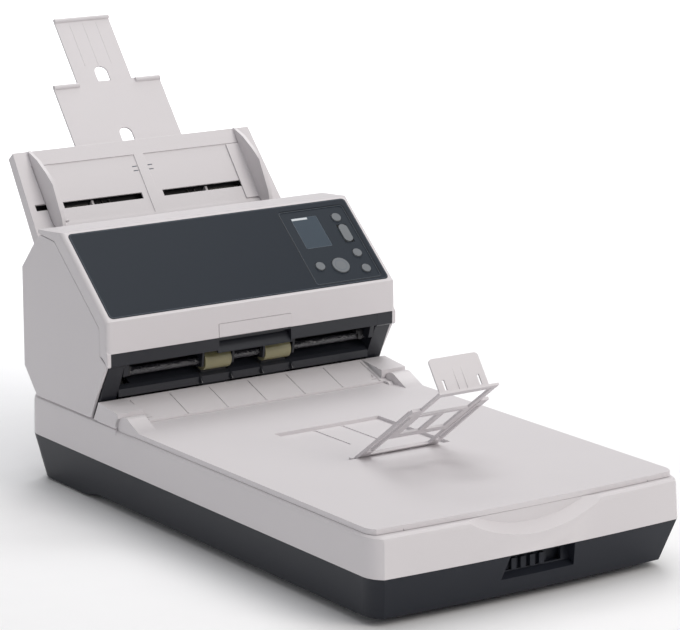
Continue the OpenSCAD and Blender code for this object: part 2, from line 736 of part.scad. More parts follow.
module rear_cover() color(white) at_feeder() difference() {
    along_x(-frame_x + 0.3, frame_x - 0.3) polygon([
        [135.8, 0.5], [feeder_d, 24.9], [155.4, 116], [151, 121], [148.4, 118.6], [152.4, 114.6],
        [feeder_d - wall - 0.1, 26], [134.4, 3.2], [110, 3.2], [110, 0.5]
    ]);
    // slots that the chute's arms hook into
    for (x = [-1, 1]) block([x * arm_x - 2.6, 130, 102], [x * arm_x + 2.6, 157, 122]);
}

// Where a round thing of radius r sits when it grips the paper from below (1) or above (-1)
function roller_at(a, r, side) = path_mid
    + (path_r + side * (r + nip_gap)) * [sin(a), -cos(a)];

drive_rollers = [
    roller_at(exit_angle, roller_r, 1), roller_at(feed_angle, roller_r, 1),
    roller_at(pick_angle, roller_r + 2, 1)
];

module side_frames() color(dark) at_feeder() for (m = [0, 1]) mirror([m, 0, 0]) difference() {
    union() {
        along_x(frame_x + 0.2, frame_x + 3.4) intersection() {
            side_profile(wall + 0.4);
            union() {
                circle(0.1);
                difference() {
                    polygon([[0, 0.6], [0, 62], [40, 100], [150, 150], [160, 0.6]]);
                    translate(path_mid) circle(path_r - 14, $fn = 360);
                }
            }
        }
        // post beside the paper exit
        along_x(post_inner, side_half - wall - 0.3) polygon([
            [20.9, 19.8], [4.8, 49.6], [4.6, 53], [13.4, 57.8], [13.8, 59], [26, 59], [34, 0.7],
            [31.5, 0.7]
        ]);
    }
    for (p = drive_rollers) translate([0, p[0], p[1]])
        bar_x(shaft_r + shaft_fit, frame_x - 2, frame_x + 8);
    translate([0, cover_axis[0], cover_axis[1]])
        bar_x(pin_r + shaft_fit, post_inner - 1, frame_x + 6);
}

// Arc between two radii round the path's centre, from tilt a0 to tilt a1
module path_band(r0, r1, a0, a1) intersection() {
    difference() {
        translate(path_mid) circle(r1, $fn = 360);
        translate(path_mid) circle(r0, $fn = 360);
    }
    polygon([path_mid, path_mid + 1.4 * r1 * [sin(a0), -cos(a0)],
             path_mid + 1.4 * r1 * [sin((a0 + a1) / 2), -cos((a0 + a1) / 2)],
             path_mid + 1.4 * r1 * [sin(a1), -cos(a1)]]);
}

module roller_window(a, x0, x1, r) on_path(a) block([x0, -r, -9], [x1, r, 9]);

feed_roller_xs = [-80, -31, 31, 80];
feed_roller_w = 16;
pick_w = 44;

module lower_paper_guide() color(dark) difference() {
    at_feeder() union() {
        // its left end stays clear of the drive belt
        along_x(-path_half + belt_bay, path_half)
            path_band(path_r + guide_gap, path_r + guide_gap + guide_t, exit_angle - 0.7, chute_angle);
        // lip and front wall under the exit
        along_x(-path_half, path_half) polygon([
            [17.9, 19.6], [17.9, 26.2], [20.6, 28.9], exit_nip + [-2.5, -1.1 - guide_gap],
            exit_nip + [0, -1.6 - guide_gap], exit_nip + [-0.3, -2.7 - guide_gap], [22.4, 27.9],
            [21.5, 28.75], [21, 28.1], [19.4, 25.4], [19.4, 19.6]
        ]);
    }
    for (x = [-1, 1]) on_path(exit_angle)
        block([x * exit_roller_x - 15, -4.5, -9], [x * exit_roller_x + 15, roller_r - 1, 9]);
    for (x = feed_roller_xs) roller_window(feed_angle, x - 10, x + 10, roller_r + 1);
    roller_window(pick_angle, -pick_w / 2 - 2, pick_w / 2 + 2, roller_r + 3);
    on_path(scan_angle) block([-scan_half - 0.5, -12.3, -9], [scan_half + 0.5, 12.3, 9]);
}

module lower_scan_unit() color(black) on_path(scan_angle) difference() {
    block([-scan_half, -11.8, -scan_deep], [scan_half, 11.8, -guide_gap]);
    block([-108, -8, -guide_gap - 1.6], [108, 8, 1]);
}

module lower_scan_glass() color("#9fb3b0", 0.5) on_path(scan_angle)
    block([-108, -8, -guide_gap - 1.6], [108, 8, -guide_gap - 0.1]);

// A stepper motor with its body from x0 to x1 and its shaft out to shaft_x
module motor(r, x0, x1, shaft_r, shaft_x) {
    bar_x(r, x0, x1);
    bar_x(shaft_r, min(shaft_x, x0), max(shaft_x, x1));
}

// Three steppers: of the feed rollers, of the pick roller and of the scanning carriage
module drive_motors() color(steel) {
    at_feeder() {
        translate([0, motor_at[0], motor_at[1]])
            motor(14, pulley_x + 8, pulley_x + 42, 1.8, pulley_x - 4);
        translate([0, 118, 44]) motor(15, frame_x - 36, frame_x - 4, 5, frame_x - 1);
    }
    at_base() translate([0, belt_rear, rod_z]) motor(14, belt_x + 8, belt_x + 30, 1.5, belt_x - 4);
}

module belt_loop(grow) hull() {
    translate(motor_at) circle(motor_pulley_r + grow);
    translate(drive_rollers[0]) circle(drive_pulley_r + grow);
    translate(drive_rollers[1]) circle(drive_pulley_r + grow);
}

module timing_belt() color(black) at_feeder() along_x(pulley_x - 2, pulley_x + 3) difference() {
    belt_loop(pulley_clear + belt_t);
    belt_loop(pulley_clear);
}

module toothed_pulley(r, bore) difference() {
    union() {
        bar_x(r, pulley_x - 2.4, pulley_x + 3.4);
        for (x = [pulley_x - 3.4, pulley_x + 3.4]) bar_x(r - 0.6, x, x + 1);
    }
    bar_x(bore, pulley_x - 5, pulley_x + 6);
}

module motor_pulley() color(steel) at_feeder() translate([0, motor_at[0], motor_at[1]])
    toothed_pulley(motor_pulley_r, 1.8 + shaft_fit);

// A driven shaft from frame to frame, with rollers at xs
module driven_shaft(place, xs, w, r) at_feeder() translate([0, place[0], place[1]]) {
    bar_x(shaft_r, -frame_x - 3.2, frame_x + 3.2);
    for (x = xs) bar_x(r, x - w / 2, x + w / 2);
}

module feed_rollers() color(black) {
    driven_shaft(drive_rollers[1], feed_roller_xs, feed_roller_w, roller_r);
    at_feeder() translate([0, drive_rollers[1][0], drive_rollers[1][1]])
        toothed_pulley(drive_pulley_r, shaft_r - 0.5);
}

module eject_rollers() color(black) {
    driven_shaft(drive_rollers[0], [-exit_roller_x, exit_roller_x], exit_roller_w - 2, roller_r);
    at_feeder() translate([0, drive_rollers[0][0], drive_rollers[0][1]])
        toothed_pulley(drive_pulley_r, shaft_r - 0.5);
}

module pick_roller() color("#4a4c50")
    driven_shaft(drive_rollers[2], [-12, 12], 18, roller_r + 2);

// ---- feeder cover ----

module cover_profile(inset) offset(delta = -inset) polygon(cover_outline);

// Outline of the cover's front below its lip, and the round seam over the frame's posts
module band_outline() polygon([[0.3, 51.9], [0, 64], [13.4, 64], [13.4, 50], [3, 50]]);

module seam_disc(x0, x1) translate([0, cover_axis[0], cover_axis[1]])
    bar_x(knuckle_seam + 0.6, x0, x1);

module cover_shell() color(white) difference() {
    at_feeder() difference() {
        union() {
            along_x(-side_half, side_half) cover_profile(0);
            for (x = [-side_half, side_half - cheek_t]) along_x(x, x + cheek_t) band_outline();
        }
        for (x = [-side_half, side_half - cheek_t]) seam_disc(x - 1, x + cheek_t + 1);
        along_x(-side_half + shell_t, side_half - shell_t) cover_profile(shell_t);
        along_x(-path_half, path_half) polygon([
            [2.6, 60], [2.6, 85], [14, 96], [86, feeder_h - 0.6], [118.6, feeder_h + 1.4],
            [118.6, 120], [30, 60]
        ]);
        // seat of the release tab in the lip, with a grip behind it
        block([-tab_half - gap, -1, tab_low - gap], [tab_half + gap, 4.2, tab_high + gap]);
        translate([0, tab_axis[0], tab_axis[1]])
            bar_x(tab_pin_r + shaft_fit, -tab_half - 1.5, tab_half + 1.5);
    }
    on_slope() {
        translate([-panel_half - 0.1, panel_low - 0.1, -panel_sink])
            rounded_plate(2 * panel_half + 0.2, panel_high - panel_low + 0.2, 3, 4.1);
        for (b = button_places) translate([b[0][0], b[0][1], -6])
            cylinder(r = b[1] + button_gap, h = 8);
        block([rocker_at[0] - rocker_half[0] - button_gap, rocker_at[1] - rocker_half[1] - 0.6, -6],
              [rocker_at[0] + rocker_half[0] + button_gap, rocker_at[1] + rocker_half[1] + 0.6, 2]);
        translate([lcd_at[0] + 1, lcd_at[1] + 1, -6]) cube([lcd_size[0] - 2, lcd_size[1] - 2, 8]);
    }
}

cheek_t = 3.4;
band_half = side_half - cheek_t - 0.15;
tab_half = 37.2;
tab_low = 63.6;
tab_high = 75.4;
tab_axis = [0.8, tab_high - 0.8];
tab_pin_r = 0.6;
scoop_grip_z = 49.5;

module cover_front_band() color(dark) at_feeder() difference() {
    union() {
        along_x(-band_half, band_half) polygon([
            [0.3, 51.9], [0.3, 62.9], [13.2, 62.9], [13.2, 60.3], [3.4, 60.3], [3.4, 51.9]
        ]);
        // housing of the finger scoop under the release tab
        along_x(-tab_half - 1.4, tab_half + 1.4) polygon([
            [0.3, scoop_grip_z], [0.3, 62.9], [9, 62.9], [9, 58], [2.4, scoop_grip_z]
        ]);
        for (m = [0, 1]) mirror([m, 0, 0]) {
            along_x(post_inner - 0.6, band_half) intersection() {
                band_outline();
                square([20, 62.9]);
            }
            // ears that carry the cover on its two pins
            along_x(post_inner - 5, post_inner - 0.5) polygon([
                [2, 60.6], [9, 39.6], [21, 39.6], [21, 51], [13.2, 62.6], [2, 62.6]
            ]);
            translate([0, cover_axis[0], cover_axis[1]]) bar_x(pin_r, post_inner - 2, frame_x + 4);
        }
    }
    // round seam over the frame's posts
    for (m = [0, 1]) mirror([m, 0, 0]) difference() {
        seam_disc(post_inner - 0.4, side_half + 1);
        translate([0, cover_axis[0], cover_axis[1]]) bar_x(pin_r, post_inner - 1, side_half + 2);
    }
    // finger scoop under the release tab
    along_x(-tab_half, tab_half)
        polygon([[-1, 61.6], [-1, scoop_grip_z], [0.9, scoop_grip_z + 0.8], [7.2, 58.6], [7.2, 61.6]]);
    // running fit of the exit rollers' shaft
    translate([0, exit_pinch[0], exit_pinch[1]])
        bar_x(exit_shaft_r + shaft_fit, -post_inner, post_inner);
}

exit_pinch = roller_at(exit_angle, roller_r, -1);
fin_xs = [-47, -16, 16, 47];

module upper_paper_guide() color(dark) difference() {
    union() {
        at_feeder() {
            along_x(-path_half, path_half)
                path_band(path_r - guide_gap - guide_t, path_r - guide_gap, 27.2, 49.4);
            // wall behind the exit rollers and the fins that steer the paper out
            along_x(-path_half + 6, path_half - 6)
                polygon([[38.5, 41.2], [40.8, 42], [40.8, 62.4], [38.5, 62.4]]);
            for (x = fin_xs) along_x(x - 1, x + 1) polygon([
                [9.3, 58], [14, 35.6], [25, 34.4], [38, 40], [42, 44], [40.8, 62.4], [13.5, 62.4],
                [13.5, 60], [9.3, 60]
            ]);
            // side ribs that stiffen the guide
            for (x = [-path_half + 1, path_half - 3.4]) along_x(x, x + 2.4) difference() {
                path_band(path_r - 20, path_r - guide_gap - guide_t + 0.2, 29, 49.4);
                polygon([[0, 0], [0, 66], [30, 66], [44, 0]]);
            }
        }
    }
    for (x = feed_roller_xs) roller_window(feed_angle, x - 10, x + 10, roller_r + 1);
    roller_window(pick_angle, -pick_w / 2 - 2, pick_w / 2 + 2, roller_r + 2);
    on_path(scan_angle) block([-scan_half - 0.5, -12.3, -9], [scan_half + 0.5, 12.3, 9]);
    at_feeder() {
        translate([0, exit_pinch[0], exit_pinch[1]])
            bar_x(exit_shaft_r + 0.8, -path_half, path_half);
        for (a = [[feed_angle, 8, 2.5], [pick_angle, 10, 3]]) {
            p = roller_at(a[0], a[1], -1);
            translate([0, p[0], p[1]]) bar_x(a[2] + shaft_fit, -path_half, path_half);
        }
    }
}

module upper_scan_unit() color(black) on_path(scan_angle) difference() {
    block([-scan_half, -11.8, guide_gap], [scan_half, 11.8, scan_deep]);
    block([-108, -8, -1], [108, 8, guide_gap + 1.6]);
}

module upper_scan_glass() color("#9fb3b0", 0.5) on_path(scan_angle)
    block([-108, -8, guide_gap + 0.1], [108, 8, guide_gap + 1.6]);

module idler(a, r, xs, w, sr) at_feeder() {
    p = roller_at(a, r, -1);
    translate([0, p[0], p[1]]) {
        bar_x(sr, -path_half + 0.6, path_half - 0.6);
        for (x = xs) bar_x(r, x - w / 2, x + w / 2);
    }
}

module brake_roller() color("#4a4c50") idler(pick_angle, 10, [-11, 11], 16, 3);

module feed_pinch_rollers() color(black) idler(feed_angle, 8, feed_roller_xs, 14, 2.5);

module exit_pinch_rollers() color("#8d8a5e") at_feeder() translate([0, exit_pinch[0], exit_pinch[1]]) {
    bar_x(exit_shaft_r, -post_inner + 1, post_inner - 1);
    for (x = [-exit_roller_x, exit_roller_x])
        bar_x(roller_r, x - exit_roller_w / 2, x + exit_roller_w / 2);
    for (m = [-1, 1]) bar_x(exit_shaft_r + 1, m * (post_inner - 7) - 1, m * (post_inner - 7) + 1);
}

module release_tab() color(white) at_feeder() {
    translate([0, tab_axis[0], tab_axis[1]]) bar_x(tab_pin_r, -tab_half - 1.3, tab_half + 1.3);
    block([-tab_half, -0.4, tab_low], [tab_half, 2, tab_high]);
    block([-30, 0.6, tab_high - 4], [30, 3.8, tab_high]);
}

module latch_bar() color(steel) at_feeder() translate([0, 104, feeder_h - 16]) {
    bar_x(3, -path_half + 4, path_half - 4);
    for (x = [-path_half + 4, path_half - 7])
        along_x(x, x + 3) polygon([[-3, 2], [3, 2], [4, -9], [9, -11], [8, -14], [-1, -13]]);
}

module dark_panel() color(slate) on_slope() difference() {
    translate([-panel_half, panel_low, -panel_sink])
        rounded_plate(2 * panel_half, panel_high - panel_low, panel_sink + 0.4, 4);
    translate([bezel_x - 0.1, bezel_low - 0.1, -2]) rounded_plate(bezel_w + 0.2, bezel_l + 0.2, 4, 5.1);
}

module control_bezel() color(slate) on_slope() difference() {
    translate([bezel_x, bezel_low, -panel_sink]) rounded_plate(bezel_w, bezel_l, panel_sink + 0.1, 5);
    translate([bezel_x + 1.4, bezel_low + 1.4, -0.3])
        rounded_plate(bezel_w - 2.8, bezel_l - 2.8, 2, 3.6);
    for (b = button_places) translate([b[0][0], b[0][1], -3]) cylinder(r = b[1] + button_gap, h = 5);
    block([rocker_at[0] - rocker_half[0] - button_gap, rocker_at[1] - rocker_half[1] - 0.6, -3],
          [rocker_at[0] + rocker_half[0] + button_gap, rocker_at[1] + rocker_half[1] + 0.6, 2]);
    translate([lcd_at[0], lcd_at[1], -3]) rounded_plate(lcd_size[0], lcd_size[1], 5, 1.5);
}

module lcd_window() color("#44515c") on_slope() {
    translate([lcd_at[0], lcd_at[1], -panel_sink])
        rounded_plate(lcd_size[0], lcd_size[1], panel_sink - 0.5, 1.5);
    translate([lcd_at[0] + 1, lcd_at[1] + 1, -5])
        cube([lcd_size[0] - 2, lcd_size[1] - 2, 5 - panel_sink]);
}

module panel_board() color("#2f5d43") on_slope()
    block([bezel_x + 4, bezel_low + 4, -board_deep - 1.6],
          [bezel_x + bezel_w - 4, bezel_low + bezel_l - 4, -board_deep]);

// A round button: cap, and a collar that the shell keeps in
module round_button(i) color(button_grey) on_slope() {
    b = button_places[i];
    translate([b[0][0], b[0][1], -board_deep + press + gap]) {
        cylinder(r = b[1], h = board_deep - press - gap + 0.9);
        cylinder(r = b[1] + 1.2, h = board_deep - press - gap - shell_t - 1);
    }
}

module menu_button() round_button(0);

module manual_button() round_button(1);

module power_button() round_button(2);

module scan_button() round_button(3);

module stop_button() round_button(4);

module scroll_rocker() color(button_grey) on_slope()
    translate([rocker_at[0], rocker_at[1], -4.4]) difference() {
    union() {
        translate([-rocker_half[0], -rocker_half[1], 1.6])
            rounded_plate(2 * rocker_half[0], 2 * rocker_half[1], 3.6, rocker_half[0] - 0.05);
        block([-rocker_half[0] + 0.5, -2.4, -1.4], [rocker_half[0] - 0.5, 2.4, 1.8]);
    }
    bar_x(1, -8, 8);
}

// ---- chute ----

module chute_plan(side, low, high) polygon([
    [-chute_half - 6 + side, low], [chute_half + 6 - side, low],
    [chute_half - side, chute_len - high], [side - chute_half, chute_len - high]
]);

arm_x = frame_x - 7.8;

module chute() color(white) on_chute() {
    difference() {
        union() {
            translate([0, 0, chute_back]) linear_extrude(-chute_back) chute_plan(0, chute_low, 0);
            // arms that hook into the feeder's frames
            for (x = [-1, 1]) along_x(x * arm_x - 2, x * arm_x + 2) polygon([
                [chute_low - 26, -6], [chute_low + 1, -5], [chute_low + 1, chute_back + 1],
                [chute_low - 22, chute_back]
            ]);
        }
        // hollow for the racks and extensions, open at the upper edge for the extensions
        translate([0, 0, chute_back - 1]) linear_extrude(-chute_back + 1 - floor_t)
            chute_plan(tray_wall, chute_low + tray_wall, tray_wall);
        block([-ext_1_half - gap, chute_len - tray_wall - 1, ext_1_top - ext_1_t - gap],
              [ext_1_half + gap, chute_len + 1, ext_1_top + gap]);
        block([-ext_2_half - gap, chute_len - tray_wall - 1, chute_back - 1],
              [ext_2_half + gap, chute_len + 1, ext_1_top + gap]);
        // shallow bed that the guides' feet slide in, with a rib left down the middle
        for (x = [5, -guide_half - 2.4]) block([x, -3.6, -1], [x + guide_half - 2.6, 58, 1]);
        // slots for the guides' legs
        for (x = [slot_from, -slot_from - slot_long])
            block([x, slot_s - slot_half, -9], [x + slot_long, slot_s + slot_half, 1]);
        // size marks either side of the rib
        for (x = [-8, 8], y = [41.5, 46]) block([x - 2.6, y - 0.5, -1.5], [x + 2.6, y + 0.5, 1]);
    }
    // stud that the pinion turns on
    translate([0, slot_s, ext_1_top + 0.6]) cylinder(r = 2.5, h = -floor_t - ext_1_top - 0.5);
}

foot_w = 14;
wing_t = 3.4;
rack_w = 4.4;
leg_half = 3.2;
leg_x = guide_half - 8;
slot_from = leg_x - guide_travel - leg_half - 6.8;
slot_long = guide_travel + 2 * leg_half + 24.6;
tooth_deep = 1.7;

function tooth(x, y, side) = [
    [x - 1.45, y], [x - 0.5, y + side * tooth_deep], [x + 0.5, y + side * tooth_deep], [x + 1.45, y]
];

// A rack along X whose pitch line lies at slot_s + side * pinion_r
module rack(side, x0, x1) {
    root = slot_s + side * (pinion_r + tooth_deep / 2 + 0.1);
    low = min(root, root + side * rack_w);
    block([x0, low, rack_top - rack_t], [x1, low + rack_w, rack_top]);
    translate([0, 0, rack_top - rack_t]) linear_extrude(rack_t)
        for (i = [ceil((x0 + 2.5) / rack_pitch - 0.5) : floor((x1 - leg_half - 2.5) / rack_pitch - 0.5)])
            polygon(tooth((i + 0.5) * rack_pitch, root, -side));
}

// One paper guide for x > 0, with its leg through the slot and its rack under the floor
module paper_guide(side) {
    along_x(guide_half - wing_t / 2, guide_half + wing_t / 2) polygon([
        [-17, 13], [-7, 18], [25, 23.5], [40, 19], [57, 12], [chute_len - 0.5, 2], [57, 0.6],
        [57, -0.7], [-1.6, -0.7], [-14, 6]
    ]);
    block([guide_half - foot_w - 1, -1.6, -0.7], [guide_half, 57, 0.5]);
    block([leg_x - leg_half, slot_s - slot_half + gap, rack_top - rack_t],
          [leg_x + leg_half, slot_s + slot_half - gap, 0]);
    low = side > 0 ? slot_s - slot_half + gap : slot_s - pinion_r - tooth_deep / 2 - rack_w;
    high = side > 0 ? slot_s + pinion_r + tooth_deep / 2 + rack_w : slot_s + slot_half - gap;
    block([leg_x - leg_half, low, rack_top - rack_t], [leg_x + leg_half, high, rack_top]);
    rack(side, -9, leg_x);
}

module right_guide() color(white) on_chute() paper_guide(1);

module left_guide() color(white) on_chute() mirror([1, 0, 0]) paper_guide(-1);

module guide_pinion() color(steel) on_chute() translate([0, slot_s, rack_top - rack_t + 0.1])
    difference() {
        union() {
            cylinder(r = pinion_r - tooth_deep / 2 - 0.1, h = rack_t - 0.2);
            for (i = [0 : pinion_teeth - 1]) rotate(i * 360 / pinion_teeth)
                linear_extrude(rack_t - 0.2) polygon(tooth(0, pinion_r - tooth_deep / 2 - 0.5, 1));
        }
        translate([0, 0, -1]) cylinder(r = 2.5 + shaft_fit, h = rack_t + 2);
    }

// A sliding plate of the chute from s0 to s1, with a rolled lip at its upper end that leaves
// out its middle, lip_from to each side
module slide_plate(half, t, top, s0, s1, lip_up, lip_from) {
    difference() {
        block([-half, s0, top - t], [half, s1, top]);
        block([-6.5, s0 + 9, top - t - 1], [6.5, s0 + 9 + 14, top + 1]);
        translate([0, s0 + 23, top - t - 1]) cylinder(r = 6.5, h = t + 2);
    }
    difference() {
        translate([0, s1 - lip_up, top + lip_up - t]) bar_x(lip_up, -half, half);
        if (lip_from > 0)
            block([-lip_from, s1 - 3 * lip_up, top], [lip_from, s1 + 1, top + 3 * lip_up]);
    }
}

module chute_extension_1() color(white) on_chute()
    slide_plate(ext_1_half, ext_1_t, ext_1_top, chute_len - ext_hold, chute_len + ext_1_len, 2.4,
                ext_2_half + 1);

module chute_extension_2() color(white) on_chute()
    slide_plate(ext_2_half, ext_2_t, ext_2_top, chute_len + ext_1_len - ext_hold,
                chute_len + ext_1_len + ext_2_len, 2.2, 0);

base_lower_case();
base_upper_case();
rubber_feet();
case_screws();
platen_glass();
guide_rod();
carriage();
lamp_bar();
carriage_belt();
carriage_pulley();
drive_motors();
main_board();
rear_sockets();
lock_switch();
lid_shell();
lid_inner_plate();
document_pad();
lid_hinge_pins();
stacker_arm();
stacker_extension();
stacker_paddle();
eject_ramp();
left_side_cover();
right_side_cover();
rear_cover();
side_frames();
lower_paper_guide();
lower_scan_unit();
lower_scan_glass();
timing_belt();
motor_pulley();
feed_rollers();
eject_rollers();
pick_roller();
cover_shell();
cover_front_band();
upper_paper_guide();
upper_scan_unit();
upper_scan_glass();
brake_roller();
feed_pinch_rollers();
exit_pinch_rollers();
release_tab();
latch_bar();
dark_panel();
control_bezel();
lcd_window();
panel_board();
menu_button();
scroll_rocker();
manual_button();
power_button();
scan_button();
stop_button();
chute();
left_guide();
right_guide();
guide_pinion();
chute_extension_1();
chute_extension_2();
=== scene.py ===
import json
import math

import bmesh
import bpy
from mathutils import Matrix, Vector

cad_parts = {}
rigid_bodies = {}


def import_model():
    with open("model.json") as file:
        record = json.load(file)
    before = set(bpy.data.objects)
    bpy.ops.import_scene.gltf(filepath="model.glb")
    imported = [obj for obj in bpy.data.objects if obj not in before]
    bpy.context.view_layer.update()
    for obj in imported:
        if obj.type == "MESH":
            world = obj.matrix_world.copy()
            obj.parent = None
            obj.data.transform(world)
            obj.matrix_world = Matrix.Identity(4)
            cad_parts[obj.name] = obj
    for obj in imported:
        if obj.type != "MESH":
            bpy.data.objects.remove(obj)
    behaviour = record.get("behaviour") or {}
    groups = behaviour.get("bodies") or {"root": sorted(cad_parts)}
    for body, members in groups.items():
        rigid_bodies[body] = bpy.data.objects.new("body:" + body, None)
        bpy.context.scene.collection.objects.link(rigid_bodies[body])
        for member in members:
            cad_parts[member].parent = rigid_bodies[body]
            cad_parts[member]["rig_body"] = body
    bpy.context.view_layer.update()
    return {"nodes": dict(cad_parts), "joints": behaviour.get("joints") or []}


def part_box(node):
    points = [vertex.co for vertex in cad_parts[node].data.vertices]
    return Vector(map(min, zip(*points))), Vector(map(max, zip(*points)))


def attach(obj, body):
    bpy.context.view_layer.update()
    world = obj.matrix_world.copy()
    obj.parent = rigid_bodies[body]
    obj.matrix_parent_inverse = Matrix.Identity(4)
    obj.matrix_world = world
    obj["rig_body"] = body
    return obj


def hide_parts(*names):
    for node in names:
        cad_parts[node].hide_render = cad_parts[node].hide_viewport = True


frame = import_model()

MM = 0.001


# ---------------------------------------------------------------------------------------------
# Camera, floor and studio light. The camera stands two and a half metres off, to the left of the
# machine's front and a little above it, with a long lens. The floor is a pale seamless sweep.

VIEW_YAW = 32.74
VIEW_PITCH = 12.45
VIEW_ROLL = -0.93
LENS_MM = 166.3
base_low, base_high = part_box("base_lower_case")
base_middle_y = (base_low[1] + base_high[1]) / 2
VIEW_FROM = Vector((-1.4016, base_middle_y - 2.1875, 0.7537))

camera_data = bpy.data.cameras.new("studio_camera")
camera_data.lens = LENS_MM
camera_data.sensor_width = 36.0
camera_data.clip_end = 20.0
camera = bpy.data.objects.new("studio_camera", camera_data)
bpy.context.scene.collection.objects.link(camera)
turn = (
    Matrix.Rotation(math.radians(-VIEW_YAW), 3, "Z")
    @ Matrix.Rotation(math.radians(90 - VIEW_PITCH), 3, "X")
    @ Matrix.Rotation(math.radians(VIEW_ROLL), 3, "Z")
)
camera.location = VIEW_FROM
camera.rotation_euler = turn.to_euler()
bpy.context.scene.camera = camera


def linear(code):
    """A colour given as an sRGB hex code, in the linear values that the shader takes."""
    parts = [int(code[i:i + 2], 16) / 255 for i in (1, 3, 5)]
    return [p / 12.92 if p <= 0.04045 else ((p + 0.055) / 1.055) ** 2.4 for p in parts] + [1.0]


def deselect():
    """Nothing is selected and no object is active, so that an operator acts on one piece only."""
    if bpy.context.object and bpy.context.object.mode != "OBJECT":
        bpy.ops.object.mode_set(mode="OBJECT")
    bpy.ops.object.select_all(action="DESELECT")


def soft_box(name, place, target, size, power, colour="#ffffff", spread=180.0):
    """A square studio softbox at a place, turned to its target, with a grid that limits its spread."""
    data = bpy.data.lights.new(name, "AREA")
    data.shape = "SQUARE"
    data.size = size
    data.energy = power
    data.color = linear(colour)[:3]
    data.spread = math.radians(spread)
    lamp = bpy.data.objects.new(name, data)
    lamp.location = place
    lamp.rotation_euler = (Vector(target) - Vector(place)).to_track_quat("-Z", "Y").to_euler()
    bpy.context.scene.collection.objects.link(lamp)


machine_middle = (0.0, base_middle_y, 0.12)
soft_box("key_softbox", (1.1, -3.5, 2.4), machine_middle, 1.9, 60.0, "#fffaf4")
soft_box("top_softbox", (0.1, -0.5, 2.6), machine_middle, 2.2, 24.0)
soft_box("left_fill", (-2.6, -0.9, 0.8), machine_middle, 1.4, 1.6, "#f4f7ff")
soft_box("sweep_light", (2.1, 3.0, 3.4), (2.0, 2.9, 0.0), 3.4, 120.0, spread=100.0)

world = bpy.data.worlds.new("studio_surround")
world.use_nodes = True
world.node_tree.nodes["Background"].inputs["Color"].default_value = linear("#f3f3f5")
world.node_tree.nodes["Background"].inputs["Strength"].default_value = 0.44
bpy.context.scene.world = world
bpy.context.scene.view_settings.view_transform = "Standard"


def add_node(tree, kind, settings=None, links=None):
    """One shader node, with its settings (attributes or input values) and (input, socket) links."""
    made = tree.nodes.new(kind)
    for key, value in (settings or {}).items():
        if hasattr(made, key):
            setattr(made, key, value)
        else:
            made.inputs[key].default_value = value
    for key, socket in (links or {}).items():
        tree.links.new(socket, made.inputs[key])
    return made


def new_finish(name, colour, roughness, ior=1.5, metallic=0.0):
    """A named material with its colour and gloss set on the shader's own sockets."""
    finish = bpy.data.materials.new(name)
    finish.use_nodes = True
    shader = finish.node_tree.nodes["Principled BSDF"]
    shader.inputs["Base Color"].default_value = linear(colour)
    shader.inputs["Roughness"].default_value = roughness
    shader.inputs["IOR"].default_value = ior
    shader.inputs["Metallic"].default_value = metallic
    return finish, finish.node_tree, shader


# Painted studio board: matt, with a faint roller mottle about 3 cm across.
floor_paint, tree, shader = new_finish("studio_board_paint", "#f4f4f5", 0.85)
place = add_node(tree, "ShaderNodeTexCoord")
mottle = add_node(
    tree, "ShaderNodeTexNoise", {"Scale": 30.0, "Detail": 2.0}, {"Vector": place.outputs["Object"]},
)
shade = add_node(tree, "ShaderNodeMix", {"data_type": "RGBA"}, {"Factor": mottle.outputs["Fac"]})
shade.inputs["A"].default_value = linear("#f4f4f5")
shade.inputs["B"].default_value = linear("#f6f6f7")
tree.links.new(shade.outputs["Result"], shader.inputs["Base Color"])

deselect()
bpy.ops.mesh.primitive_plane_add(size=14.0, location=(0, 3.0, 0))
floor = bpy.context.object
floor.name = "studio_floor"
floor.data.materials.append(floor_paint)


# ---------------------------------------------------------------------------------------------
# Finishes. The shells are injection moulded in warm white and in slate coloured ABS, with a fine
# spark-eroded grain; the works inside are rubber, ground steel, nylon and lacquered board.

def drifting(tree, shader, colour, other, scale):
    """The colour drifts slightly between two shades over the piece, as a moulding's does."""
    place = add_node(tree, "ShaderNodeTexCoord")
    cloud = add_node(
        tree, "ShaderNodeTexNoise", {"Scale": scale, "Detail": 2.0},
        {"Vector": place.outputs["Object"]},
    )
    tone = add_node(tree, "ShaderNodeMix", {"data_type": "RGBA"}, {"Factor": cloud.outputs["Fac"]})
    tone.inputs["A"].default_value = linear(colour)
    tone.inputs["B"].default_value = linear(other)
    tree.links.new(tone.outputs["Result"], shader.inputs["Base Color"])
    return place


def grained(tree, shader, place, grain_mm, deep_mm, rough, rough_drift):
    """A moulded grain of a given size and depth, with a gloss that wanders a little with it."""
    grain = add_node(
        tree, "ShaderNodeTexNoise", {"Scale": 1000.0 / grain_mm, "Detail": 3.0},
        {"Vector": place.outputs["Object"]},
    )
    bump = add_node(
        tree, "ShaderNodeBump", {"Strength": 0.5, "Distance": deep_mm * MM},
        {"Height": grain.outputs["Fac"]},
    )
    tree.links.new(bump.outputs["Normal"], shader.inputs["Normal"])
    wander = add_node(
        tree, "ShaderNodeMapRange", {"To Min": rough - rough_drift, "To Max": rough + rough_drift},
    )
    tree.links.new(grain.outputs["Fac"], wander.inputs["Value"])
    tree.links.new(wander.outputs["Result"], shader.inputs["Roughness"])


def moulded(name, colour, other, grain_mm, deep_mm, rough, shine=0.5):
    """An injection moulded plastic with a spark-eroded grain, whose matting takes off some shine."""
    finish, tree, shader = new_finish(name, colour, rough, 1.53)
    shader.inputs["Specular IOR Level"].default_value = shine
    place = drifting(tree, shader, colour, other, 14.0)
    grained(tree, shader, place, grain_mm, deep_mm, rough, 0.05)
    return finish


